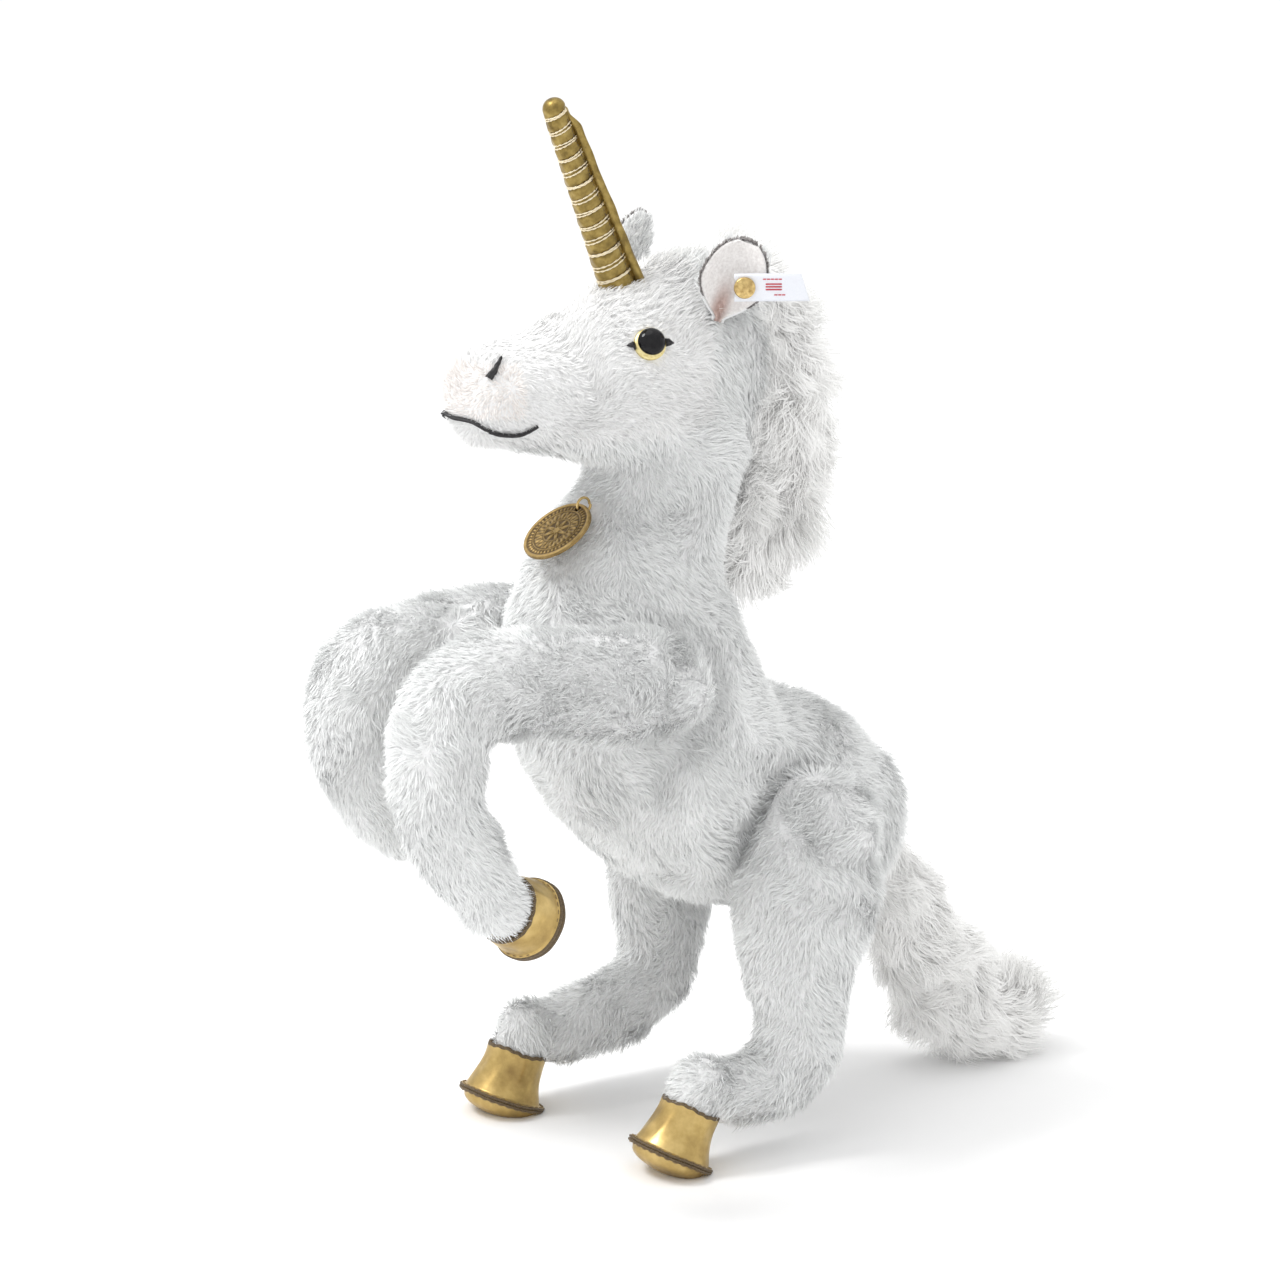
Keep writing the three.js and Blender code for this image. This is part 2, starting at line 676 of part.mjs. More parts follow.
// The medal hangs on a ring that is sewn to the chest. The ring's middle is its pivot.
{
  const tilt = (MEDAL_TILT * Math.PI) / 180;
  const face = [0, -Math.sin(tilt), Math.cos(tilt)];
  const uphill = (far) => [
    MEDAL_AT[0],
    MEDAL_AT[1] + far * Math.cos(tilt),
    MEDAL_AT[2] + far * Math.sin(tilt),
  ];
  const holeAt = MEDAL_RADIUS - MEDAL_HOLE_IN;
  const round = (radius, thick, at) =>
    solid(aim(new THREE.CylinderGeometry(radius, radius, thick, 28), face, at));
  const ring = (wire) => {
    const loop = new THREE.TorusGeometry(RING_RADIUS, wire, 6, 20).rotateY(Math.PI / 2);
    return solid(loop.translate(...uphill(holeAt + RING_RADIUS)));
  };
  const clear = ring(RING_WIRE + GAP);
  bodyCover = bodyCover.subtract(clear);
  bodyCore = bodyCore.subtract(clear);
  const hole = round(MEDAL_HOLE, 3 * MEDAL_THICK, uphill(holeAt));
  add("medal", round(MEDAL_RADIUS, MEDAL_THICK, MEDAL_AT).subtract(hole), BRASS);
  add("medal_ring", ring(RING_WIRE), BRASS);
}

add("body_cover_left", bodyCover.intersect(leftHalf), FUR);
add("body_cover_right", bodyCover.intersect(rightHalf), FUR);
add("body_stuffing", bodyCore, STUFFING);

// The mane and the tail.
add("mane", solid(tube(middle(MANE), { sides: 12, domes: [10, 10] })).subtract(bodyClear), FUR);
const tail = solid(tube(middle(TAIL), { sides: 14, steps: 1, domes: [12, 11] }));
add("tail", tail.subtract(bodyClear).subtract(floorCut), FUR);

// The frame's origin is the middle of the bottom of the whole.
const box = new THREE.Box3().setFromObject(unicorn);
unicorn.position.set(-(box.min.x + box.max.x) / 2, -(box.min.y + box.max.y) / 2, -box.min.z);
unicorn.updateMatrixWorld(true);

export default unicorn;
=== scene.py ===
import math

import bpy
import numpy as np
from mathutils import Matrix, Vector, kdtree
from mathutils.bvhtree import BVHTree


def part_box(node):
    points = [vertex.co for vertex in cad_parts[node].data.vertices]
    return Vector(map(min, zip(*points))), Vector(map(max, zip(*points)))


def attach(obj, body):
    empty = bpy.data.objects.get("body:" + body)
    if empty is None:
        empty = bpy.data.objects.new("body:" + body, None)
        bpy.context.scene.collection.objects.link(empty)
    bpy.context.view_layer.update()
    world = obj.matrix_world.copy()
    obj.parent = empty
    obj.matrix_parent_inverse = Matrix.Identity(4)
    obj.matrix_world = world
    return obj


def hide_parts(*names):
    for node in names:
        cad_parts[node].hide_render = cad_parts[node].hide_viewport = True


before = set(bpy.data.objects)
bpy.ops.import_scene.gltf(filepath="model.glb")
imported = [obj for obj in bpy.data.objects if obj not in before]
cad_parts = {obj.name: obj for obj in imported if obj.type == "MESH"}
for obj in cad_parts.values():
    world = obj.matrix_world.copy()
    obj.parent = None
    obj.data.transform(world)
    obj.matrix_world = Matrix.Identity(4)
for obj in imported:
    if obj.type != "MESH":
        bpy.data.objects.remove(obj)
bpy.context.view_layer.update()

MM = 0.001
SHOULDER = np.array([-2.0, 163.0])  # y, z of the front legs' axis
HIP = np.array([64.0, 106.0])  # and of the hind legs' axis
FLANK = 29.4  # half width of the trunk where the legs press on it
LEG_FACE = 30.0  # the legs' flat inner faces lie this far from the middle
X = np.array([1.0, 0.0, 0.0])
Z = np.array([0.0, 0.0, 1.0])


def box_middle(name):
    """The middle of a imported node's box, in millimetres of the row frame."""
    low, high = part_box(name)
    return np.array([(a + b) / 2 / MM for a, b in zip(low, high)])


# from the part's own coordinates to the row frame
SHIFT = np.array([0.0, box_middle("front_left_limb_disc")[1] - SHOULDER[0], 0.0])

# Stations of the stuffed shapes, from one end to the other: y, z, half width, half depth.
TRUNK = [
    [95.5, 92, 27, 29], [71, 104.5, 36, 37], [37, 118, 40, 38.5], [15.5, 144.3, 41, 42],
    [9, 171, 40, 39], [11, 191, 30, 34.5], [20.5, 212, 24, 26.5], [28.5, 234, 23, 26],
    [34, 252, 23, 25],
]
HEAD = [
    [46, 259, 21, 26], [30, 260, 25.5, 33], [12, 258.5, 27, 32], [-5, 256.8, 25.5, 26.5],
    [-22, 256.3, 21, 21], [-37, 257, 18.5, 18], [-46, 257, 17, 16.8],
]
MANE = [
    [30, 291, 12, 8], [52, 283, 15, 13], [67, 261, 16, 17], [69, 235, 16, 18],
    [64, 210, 15, 19], [56, 188, 12, 13],
]
TAIL = [
    [105, 90, 11, 11.5], [115.5, 69.5, 13, 14.5], [128, 46.5, 14.5, 17], [141, 26, 15.5, 18.2],
    [158, 15, 15.5, 17], [173, 20, 12, 13],
]
FRONT_HOOF = dict(top=11.2, bottom=12.4, flange=13.4, height=12.5, bulge=3)
HIND_HOOF = dict(top=10.2, bottom=12.8, flange=14.8, height=16.5, bulge=5)
# A leg's stations start with x as well. at and toe are where its hoof starts and the
# way the hoof points. All is given for the left side, and side mirrors it.
LEGS = dict(
    front_left=dict(
        side=1, joint=SHOULDER, hoof=FRONT_HOOF, at=[47, -67.5, 102], toe=[-0.27, 0.84, -0.47],
        stations=[
            [42, -2, 163, 20.5, 19.5], [43.5, -30, 169, 18.5, 18.5], [45.5, -56, 174, 16.5, 17.5],
            [46, -76, 175, 16.5, 17.5], [46, -88, 167.5, 16.5, 17.5], [46, -92, 154, 15.5, 15.8],
            [46, -91.5, 139, 14.5, 14.8], [46.5, -85.5, 125, 13.8, 14], [47, -77, 113, 13, 13],
        ],
    ),
    front_right=dict(
        side=-1, joint=SHOULDER, hoof=FRONT_HOOF, at=[46.5, -37.5, 99.3], toe=[-0.25, 0.92, -0.3],
        stations=[
            [42, -2, 163, 20.5, 19.5], [43.5, -24, 163.5, 18.5, 17.8],
            [45, -41, 163.3, 16.5, 16.5], [45, -55, 162, 16.5, 17], [45, -64.5, 154.3, 16.5, 16.5],
            [45, -67.5, 141.5, 15.5, 16], [45, -65, 127, 14.5, 15], [45.5, -57, 114, 13.8, 14],
            [46, -46.5, 104, 12.8, 13],
        ],
    ),
    hind_left=dict(
        side=1, joint=HIP, hoof=HIND_HOOF, at=[42, 7, 20.5], toe=[0, -0.48, -0.88],
        stations=[
            [42, 65, 107, 20.5, 24], [43, 52, 84, 19.5, 26.5], [44, 48.5, 64, 16.5, 21.5],
            [43.5, 49.5, 46, 14, 16], [42.5, 48, 32, 13.5, 15.5], [42, 39, 24.5, 12.5, 13.5],
            [42, 27, 23, 11.6, 11.8], [42, 16, 22.5, 10.6, 10.8],
        ],
    ),
    hind_right=dict(
        side=-1, joint=HIP, hoof=HIND_HOOF, at=[42, -6, 19.8], toe=[0, -0.38, -0.92],
        stations=[
            [42, 65, 107, 20.5, 24], [43, 58, 84, 19.5, 24.5], [44, 54, 66, 16.5, 20],
            [43.5, 53, 49, 14, 15.5], [42.5, 48.5, 36.5, 13.5, 14], [42, 36.5, 29, 12.5, 13.5],
            [42, 19, 25.5, 11.8, 13.2], [42, 3, 22.5, 10.6, 10.8],
        ],
    ),
)

# How far each skin lies inside its CAD shape, to leave room for its fur.
ROOM = dict(trunk=1.3, head=0.9, leg=1.4, mane=5.5, tail=4.2)
DOMES = dict(trunk=(17, 14), head=(12, 10.5), leg=(17, 8), mane=(7, 7), tail=(9, 7))


# ------------------------------------------------------------------ small maths
def unit(v):
    v = np.asarray(v, float)
    return v / np.maximum(np.linalg.norm(v, axis=-1, keepdims=True), 1e-9)


def smooth(low, high, value):
    t = np.clip((value - low) / (high - low), 0, 1)
    return t * t * (3 - 2 * t)


def waves(points, scale, seed, count=7):
    """A smooth random field of about unit spread, that changes over scale millimetres."""
    rng = np.random.default_rng(seed)
    ways = unit(rng.normal(size=(count, 3)))
    k = ways * (2 * math.pi / scale) * rng.uniform(0.6, 1.5, (count, 1))
    phase = rng.uniform(0, 2 * math.pi, count)
    return np.sin(points @ k.T + phase).sum(1) / math.sqrt(count / 2)


def eddies(points, scales, seed):
    """A smooth random way for each point: one field of waves for each axis."""
    return np.stack([waves(points, scale, seed + i) for i, scale in enumerate(scales)], 1)


def curve(stations, ts):
    """Points on the centripetal Catmull-Rom curve through stations."""
    pts = np.asarray(stations, float)
    p = np.vstack([2 * pts[0] - pts[1], pts, 2 * pts[-1] - pts[-2]])
    n = len(pts) - 1
    s = np.clip(ts, 0, 1) * n
    i = np.minimum(s.astype(int), n - 1)
    w = (s - i)[:, None]
    p0, p1, p2, p3 = (p[i + k] for k in range(4))
    d0, d1, d2 = (
        np.maximum(np.linalg.norm(b - a, axis=1, keepdims=True) ** 0.5, 1e-4)
        for a, b in ((p0, p1), (p1, p2), (p2, p3))
    )
    t1 = ((p1 - p0) / d0 - (p2 - p0) / (d0 + d1) + (p2 - p1) / d1) * d1
    t2 = ((p2 - p1) / d1 - (p3 - p1) / (d1 + d2) + (p3 - p2) / d2) * d1
    return (
        p1 + t1 * w + (-3 * p1 + 3 * p2 - 2 * t1 - t2) * w**2
        + (2 * p1 - 2 * p2 + t1 + t2) * w**3
    )


def tangents(stations, ts):
    e = 1e-3
    return unit(curve(stations, np.clip(ts + e, 0, 1)) - curve(stations, np.clip(ts - e, 0, 1)))


def middle(stations):
    return [[0.0, *s] for s in stations]


def frame_of(way):
    """Two directions square to way."""
    way = unit(way)
    side = unit(np.cross(way, [0, 0, 1] if abs(way[2]) < 0.9 else [1, 0, 0]))
    return side, np.cross(way, side)


def around(turn, side, other):
    """Directions at each turn round a circle through side and other."""
    return np.cos(turn)[:, None] * side + np.sin(turn)[:, None] * other


def closed_rings(rings, first, last):
    """Points and faces of a closed surface from rings and a pole at each end."""
    m, n = rings.shape[:2]
    points = np.vstack([rings.reshape(-1, 3), first, last])
    j = np.arange(n)
    k = (j + 1) % n
    here = (np.arange(m - 1) * n)[:, None]
    quads = np.stack([here + j, here + k, here + n + k, here + n + j], -1).reshape(-1, 4)
    base = (m - 1) * n
    caps = np.vstack([
        np.stack([np.full(n, m * n), k, j], 1),
        np.stack([base + j, base + k, np.full(n, m * n + 1)], 1),
    ])
    return points, [quads, caps]


def capped(rings):
    """A closed surface from rings, each end closed at the middle of its ring."""
    rings = np.array(rings)
    return outward(closed_rings(rings, rings[0].mean(0)[None], rings[-1].mean(0)[None]))


def tube(stations, sides=36, steps=6, domes=(8, 8), grow=0.0):
    """A stuffed shape through stations [x, y, z, half width, half depth], with a dome of
    the given height at each end. grow moves its surface outwards."""
    stations = np.asarray(stations, float)
    line = stations[:, :3]
    sizes = np.c_[stations[:, 3:5], np.zeros(len(stations))]
    bends = np.radians([78, 64, 50, 36, 22, 10])
    ts = np.linspace(0, 1, (len(stations) - 1) * steps + 1)
    t = np.concatenate([np.zeros(len(bends)), ts, np.ones(len(bends))])
    share = np.concatenate([np.cos(bends), np.ones(len(ts)), np.cos(bends[::-1])])
    shift = np.concatenate([
        -(domes[0] + grow) * np.sin(bends), np.zeros(len(ts)),
        (domes[1] + grow) * np.sin(bends[::-1]),
    ])
    along = tangents(line, t)
    normal = unit(np.cross(along, X))
    lateral = unit(np.cross(normal, along))
    half = curve(sizes, t)[:, :2] + grow
    mid = curve(line, t) + along * shift[:, None]
    turn = np.linspace(0, 2 * math.pi, sides, endpoint=False)
    rings = (
        mid[:, None]
        + lateral[:, None] * (half[:, 0] * share)[:, None, None] * np.cos(turn)[None, :, None]
        + normal[:, None] * (half[:, 1] * share)[:, None, None] * np.sin(turn)[None, :, None]
    )
    first = curve(line, np.zeros(1)) - along[:1] * (domes[0] + grow)
    last = curve(line, np.ones(1)) + along[-1:] * (domes[1] + grow)
    return closed_rings(rings, first, last)


def lathe(profile, sides, place, way, shape=None):
    """A closed turned body: profile runs [radius, height] from the axis round to the axis.
    shape may change each ring point's radius and height by its turn."""
    side, other = frame_of(way)
    way = unit(way)
    profile = np.asarray(profile, float)
    turn = np.linspace(0, 2 * math.pi, sides, endpoint=False)
    radius = np.repeat(profile[1:-1, :1], sides, 1)
    height = np.repeat(profile[1:-1, 1:2], sides, 1)
    if shape:
        radius, height = shape(radius, height, turn)
    rings = (
        np.asarray(place, float)
        + radius[..., None] * around(turn, side, other)
        + height[..., None] * way
    )
    first = (np.asarray(place) + way * profile[0, 1])[None]
    last = (np.asarray(place) + way * profile[-1, 1])[None]
    return closed_rings(rings, first, last)


CORD_END = 0.6  # how far a cord's ends stand out, as a share of its radius


def cord_of(path, radius, sides=8):
    """A closed tube round a path of points, with a radius for each point or for all."""
    path = np.asarray(path, float)
    along = unit(np.gradient(path, axis=0))
    radius = np.broadcast_to(np.asarray(radius, float), len(path))
    side = np.zeros_like(path)
    start = frame_of(along[0])[0]
    for i, a in enumerate(along):  # carried along the path so that the tube doesn't twist
        start = unit(start - a * (start @ a))
        side[i] = start
    other = np.cross(along, side)
    turn = np.linspace(0, 2 * math.pi, sides, endpoint=False)
    rings = path[:, None] + radius[:, None, None] * (
        np.cos(turn)[None, :, None] * side[:, None] + np.sin(turn)[None, :, None] * other[:, None]
    )
    first = path[:1] - along[:1] * radius[0] * CORD_END
    last = path[-1:] + along[-1:] * radius[-1] * CORD_END
    return closed_rings(rings, first, last)


def merged(shapes):
    """Several (points, faces) as one."""
    points, blocks, base = [], [], 0
    for p, b in shapes:
        points.append(p)
        blocks += [f + base for f in b]
        base += len(p)
    return np.vstack(points), blocks


def outward(shape):
    """Turns a closed shape's faces round if they look inwards."""
    points, blocks = shape
    volume = 0.0
    for b in blocks:
        for i in range(1, b.shape[1] - 1):
            a, c, d = points[b[:, 0]], points[b[:, i]], points[b[:, i + 1]]
            volume += (a * np.cross(c, d)).sum()
    return shape if volume > 0 else (points, [b[:, ::-1] for b in blocks])


# ---------------------------------------------------------------------- pieces
def mesh_of(name, points, blocks, uv=None):
    blocks = [np.asarray(b, int) for b in blocks if len(b)]
    mesh = bpy.data.meshes.new(name)
    mesh.vertices.add(len(points))
    mesh.vertices.foreach_set("co", ((points + SHIFT) * MM).astype(np.float32).ravel())
    loops = np.concatenate([b.ravel() for b in blocks])
    totals = np.concatenate([np.full(len(b), b.shape[1]) for b in blocks])
    starts = np.concatenate([[0], np.cumsum(totals)[:-1]])
    mesh.loops.add(len(loops))
    mesh.loops.foreach_set("vertex_index", loops.astype(np.int32))
    mesh.polygons.add(len(totals))
    mesh.polygons.foreach_set("loop_start", starts.astype(np.int32))
    mesh.polygons.foreach_set("use_smooth", np.ones(len(totals), bool))
    mesh.update(calc_edges=True)
    if uv is not None:
        layer = mesh.uv_layers.new(name="OFBake")
        layer.data.foreach_set("uv", uv[loops].astype(np.float32).ravel())
    return mesh


def piece(name, shape, body, material, replaces=(), uv=None, parts=None):
    """A shown object on a body. material may be a list, then parts gives each face its number."""
    ob = linked(name, mesh_of(name, *shape, uv))
    for m in material if isinstance(material, list) else [material]:
        ob.data.materials.append(m)
    if parts is not None:
        ob.data.polygons.foreach_set("material_index", np.asarray(parts, np.int32))
    settle(ob, body, replaces)
    return ob


def settle(ob, body, replaces=()):
    """Puts an object on its body and hides the CAD nodes that it replaces."""
    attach(ob, body)
    if replaces:
        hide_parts(*replaces)


def skinned(ob, body, replaces):
    """Makes an object the padded ground that fur stands on."""
    ob.data.materials.clear()
    ob.data.materials.append(SKIN)
    settle(ob, body, replaces)


def linked(name, data):
    """A new object in the scene."""
    ob = bpy.data.objects.new(name, data)
    bpy.context.scene.collection.objects.link(ob)
    return ob


def points_of(ob):
    co = np.zeros(len(ob.data.vertices) * 3, np.float32)
    ob.data.vertices.foreach_get("co", co)
    return co.reshape(-1, 3).astype(float) / MM - SHIFT


def set_points(ob, points):
    ob.data.vertices.foreach_set("co", ((points + SHIFT) * MM).astype(np.float32).ravel())
    ob.data.update()


def bake_modifiers(ob):
    dg = bpy.context.evaluated_depsgraph_get()
    mesh = bpy.data.meshes.new_from_object(ob.evaluated_get(dg))
    ob.modifiers.clear()
    ob.data = mesh


def remeshed(name, shape, voxel, rounds):
    """One closed skin round a shape made of overlapping closed surfaces."""
    ob = linked(name, mesh_of(name, *shape))
    mod = ob.modifiers.new("join", "REMESH")
    mod.mode = "VOXEL"
    mod.voxel_size = voxel * MM
    mod.use_smooth_shade = True
    if rounds:
        soft = ob.modifiers.new("soften", "SMOOTH")
        soft.factor = 0.5
        soft.iterations = rounds
    bake_modifiers(ob)
    return ob


CLOTH_FRAMES = 20


def inflate(ob, pressure, cap):
    """Lets the sewn skin swell under its stuffing in a cloth simulation. No point moves
    further than cap."""
    scene = bpy.context.scene
    rest = points_of(ob)
    mod = ob.modifiers.new("stuffed", "CLOTH")
    s = mod.settings
    s.quality = 5
    s.mass = 0.3
    s.tension_stiffness = s.compression_stiffness = 15
    s.bending_stiffness = 0.8
    s.use_pressure = True
    s.uniform_pressure_force = pressure
    s.effector_weights.gravity = 0
    mod.collision_settings.use_collision = False
    mod.collision_settings.use_self_collision = False
    mod.point_cache.frame_start = 1
    mod.point_cache.frame_end = CLOTH_FRAMES
    for f in range(1, CLOTH_FRAMES + 1):
        scene.frame_set(f)
    bake_modifiers(ob)
    scene.frame_set(1)
    moved = points_of(ob) - rest
    far = np.linalg.norm(moved, axis=1, keepdims=True)
    set_points(ob, rest + moved * np.minimum(1, cap / np.maximum(far, 1e-9)))


# ------------------------------------------------------------------- materials
class Look:
    """A procedural material while it is being built."""

    def __init__(self, name, **values):
        """values are for the shader's sockets, with _ for each space in a socket's name."""
        self.material = bpy.data.materials.new(name)
        self.material.use_nodes = True
        self.nodes = self.material.node_tree.nodes
        self.links = self.material.node_tree.links
        self.shader = self.nodes["Principled BSDF"]
        for key, value in values.items():
            self.shader.inputs[key.replace("_", " ")].default_value = value

    def node(self, kind, **values):
        """A new node. A value is for the setting of that name, or else for the socket."""
        made = self.nodes.new(kind)
        for key, value in values.items():
            if hasattr(made, key):
                setattr(made, key, value)
            else:
                made.inputs[key].default_value = value
        return made

    def join(self, output, target, socket):
        self.links.new(output, target.inputs[socket])

    def feed(self, output, socket):
        self.join(output, self.shader, socket)

    def noise(self, scale, detail=4, rough=0.5, stretch=None):
        """Noise whose features are about scale millimetres wide."""
        at = self.node("ShaderNodeTexCoord").outputs["Object"]
        if stretch:
            mapping = self.node("ShaderNodeMapping", Scale=stretch)
            self.join(at, mapping, "Vector")
            at = mapping.outputs["Vector"]
        made = self.node(
            "ShaderNodeTexNoise", Scale=1 / (scale * MM), Detail=detail, Roughness=rough
        )
        self.join(at, made, "Vector")
        return made.outputs["Fac"]

    def ramp(self, source, *stops):
        """Colours at the given places between 0 and 1 of a value."""
        made = self.node("ShaderNodeValToRGB")
        elements = made.color_ramp.elements
        while len(elements) < len(stops):
            elements.new(0.5)
        for i, (at, colour) in enumerate(stops):
            elements[i].position = at
            elements[i].color = (*colour, 1)
        self.join(source, made, "Fac")
        return made.outputs["Color"]

    def mix(self, a, b, **values):
        made = self.node("ShaderNodeMix", data_type="RGBA", **values)
        self.join(a, made, "A")
        self.join(b, made, "B")
        return made

    def patches(self, socket, dark, light, scale, detail=4, rough=0.5, stretch=None):
        """Lets a socket wander between two colours or greys, in patches."""
        noise = self.noise(scale, detail, rough, stretch)
        self.feed(self.ramp(noise, (0.3, dark), (0.7, light)), socket)

    def bump(self, height, strength, depth, over=None):
        """Relief of a depth in millimetres. over is a finer bump that lies on this one."""
        made = self.node("ShaderNodeBump", Strength=strength, Distance=depth * MM)
        self.join(height, made, "Height")
        self.join(made.outputs["Normal"], over or self.shader, "Normal")
        return made


def grey(value):
    return (value, value, value)


UV_COLUMNS, UV_ROWS = 64, 16  # cells of the strands' map


def pile(name, root, tip, spread=0.06, sheen=0.25, glow=0.0):
    """Mohair: each strand has its own tone, and goes from root to tip colour; the darker root
    colour is painted shade deep in the pile. A strand's own map cell says which strand it is
    and how far along it a point lies. glow stands for light that scatters from hair to hair
    inside deep pile."""
    look = Look(
        name, Roughness=0.5, Specular_IOR_Level=0.6, Sheen_Weight=sheen, Sheen_Roughness=0.4,
        Emission_Color=(1, 1, 1, 1), Emission_Strength=glow,
    )
    uv = look.node("ShaderNodeUVMap", uv_map="OFBake").outputs["UV"]
    scaled = look.node("ShaderNodeVectorMath", operation="MULTIPLY")
    scaled.inputs[1].default_value = (UV_COLUMNS, UV_ROWS, 1)
    look.join(uv, scaled, 0)
    cell = look.node("ShaderNodeVectorMath", operation="FLOOR")
    look.join(scaled.outputs[0], cell, 0)
    within = look.node("ShaderNodeVectorMath", operation="FRACTION")
    look.join(scaled.outputs[0], within, 0)
    parts = look.node("ShaderNodeSeparateXYZ")
    look.join(within.outputs[0], parts, 0)
    tone = look.node("ShaderNodeTexWhiteNoise", noise_dimensions="3D")
    look.join(cell.outputs[0], tone, "Vector")
    # painted shade: the darker root colour stands for the shade deep in the pile and fades out
    # towards the tip
    along = look.ramp(parts.outputs["Y"], (0.0, root), (0.55, tip), (1.0, tip))
    usual = (1 - spread, 1 - spread, 1 - 1.15 * spread)
    shade = look.ramp(
        tone.outputs["Value"], (0.0, grey(1 - 2 * spread)), (0.5, usual), (1.0, grey(1))
    )
    mix = look.mix(along, shade, blend_type="MULTIPLY", Factor=1)
    look.feed(mix.outputs["Result"], "Base Color")
    return look.material


def backing(name, light, dark, scale=1.2):
    """The knitted ground that pile stands in."""
    look = Look(name, Roughness=0.95, Sheen_Weight=0.3)
    look.patches("Base Color", dark, light, scale)
    look.bump(look.noise(scale * 0.4, 4, 0.7), 0.7, 0.5)
    return look.material


def gold_leather(name, light, mid, dark, grain, painted_reflection_size):
    """Foil leather with a fine grain. Its light, mid and dark patches, as wide in millimetres as the
    last argument, are painted highlight and painted shade in place of reflections.
    """
    look = Look(name, Metallic=0.85)
    # painted highlights and painted shade: these patches stand in for the reflections that a darker
    # room would give the metallic leather
    patches = look.ramp(look.noise(painted_reflection_size, 5, 0.6), (0.28, dark), (0.5, mid), (0.72, light))
    look.feed(patches, "Base Color")
    look.patches("Roughness", grey(0.28), grey(0.46), 3.0)
    cells = look.node("ShaderNodeTexVoronoi", feature="DISTANCE_TO_EDGE", Scale=1 / (grain * MM))
    look.join(look.node("ShaderNodeTexCoord").outputs["Object"], cells, "Vector")
    fine = look.bump(cells.outputs["Distance"], 0.12, 0.1)
    look.bump(look.noise(7.0, 2), 0.3, 0.5, over=fine)
    return look.material


def metal(name, light, dark, rough, scale, metallic=1.0):
    look = Look(name, Metallic=metallic)
    look.feed(look.ramp(look.noise(scale, 5, 0.6), (0.3, dark), (0.65, light)), "Base Color")
    look.patches("Roughness", grey(rough), grey(rough + 0.18), scale * 0.6)
    look.bump(look.noise(scale * 0.4), 0.2, 0.05)
    return look.material


def matte(name, light, dark, scale, rough, strength=0.5, depth=0.2, stretch=None):
    look = Look(name, Roughness=rough)
    look.patches("Base Color", dark, light, scale, 4, 0.6, stretch)
    look.bump(look.noise(scale * 0.5, 4, 0.6, stretch), strength, depth)
    return look.material


def eye_glass():
    look = Look("eye_black", Roughness=0.04, Specular_IOR_Level=0.22)
    look.patches("Base Color", (0.004, 0.004, 0.005), (0.012, 0.011, 0.012), 2.0, 2)
    return look.material


def lining():
    """Felt that darkens deep in the ear's fold."""
    look = Look("ear_lining", Roughness=0.95, Sheen_Weight=0.4)
    fold = look.node("ShaderNodeAttribute", attribute_name="fold").outputs["Fac"]
    pale = look.ramp(
        look.noise(1.0, 5, 0.6), (0.3, (0.66, 0.63, 0.615)), (0.7, (0.86, 0.84, 0.825))
    )
    deep = look.ramp(look.noise(1.4), (0.3, (0.30, 0.19, 0.16)), (0.7, (0.52, 0.37, 0.33)))
    mix = look.mix(pale, deep)
    look.join(fold, mix, "Factor")
    look.feed(mix.outputs["Result"], "Base Color")
    look.bump(look.noise(0.5, 5, 0.7), 0.6, 0.3)
    return look.material


def antique_brass():
    """Brass that is worn bright on its relief and dark between."""
    look = Look("medal_brass", Metallic=0.9)
    relief = look.node("ShaderNodeAttribute", attribute_name="relief").outputs["Fac"]
    worn = look.ramp(
        look.noise(2.2, 5, 0.6), (0.3, (0.34, 0.225, 0.08)), (0.7, (0.54, 0.38, 0.155))
    )
    dark = look.ramp(look.noise(1.5), (0.3, (0.07, 0.045, 0.02)), (0.7, (0.17, 0.11, 0.045)))
    mix = look.mix(dark, worn)
    look.join(relief, mix, "Factor")
    look.feed(mix.outputs["Result"], "Base Color")
    look.patches("Roughness", grey(0.34), grey(0.55), 1.0)
    look.bump(look.noise(0.5), 0.2, 0.05)
    return look.material


# the first colour of each fur, at its roots, holds painted shade deep in the pile
FUR = pile("mohair", (0.80, 0.805, 0.81), (0.935, 0.945, 0.945))
FACE_FUR = pile("mohair_face", grey(0.82), grey(0.95))
MANE_FUR = pile("mohair_long", (0.90, 0.89, 0.88), (0.97, 0.968, 0.96), 0.04, glow=0.04)
BLUSH_FUR = pile("mohair_muzzle", (0.86, 0.80, 0.77), (0.96, 0.93, 0.91))
RIM_FUR = pile("ear_rim_fuzz", (0.24, 0.22, 0.23), (0.46, 0.43, 0.43), 0.25, sheen=0.1)
SKIN = backing("mohair_ground", grey(0.92), (0.84, 0.84, 0.845))
# the light and dark stops of both leathers are painted highlight and painted shade, standing in for
# reflections
LEATHER = gold_leather(
    "gold_leather", (0.70, 0.52, 0.22), (0.49, 0.345, 0.125), (0.29, 0.19, 0.068), 0.9, 11.0
)
HORN_LEATHER = gold_leather(
    "horn_leather", (0.40, 0.295, 0.10), (0.27, 0.19, 0.055), (0.13, 0.088, 0.026), 0.8, 3.5
)
RAW_EDGE = matte("leather_edge", (0.17, 0.115, 0.05), (0.035, 0.02, 0.01), 0.5, 0.6)
STITCH = matte("stitch_thread", (0.32, 0.22, 0.09), (0.16, 0.10, 0.04), 0.25, 0.55)
GOLD_THREAD = metal("gold_thread", (0.97, 0.90, 0.72), (0.80, 0.66, 0.42), 0.35, 0.35, 0.7)
BRASS = metal("button_brass", (0.74, 0.55, 0.24), (0.34, 0.22, 0.08), 0.25, 1.6)
MEDAL_BRASS = antique_brass()
STEEL = metal("plated_steel", (0.60, 0.61, 0.62), (0.42, 0.43, 0.44), 0.3, 1.4)
BOARD = matte("hardboard", (0.30, 0.19, 0.105), (0.18, 0.11, 0.06), 0.7, 0.9)
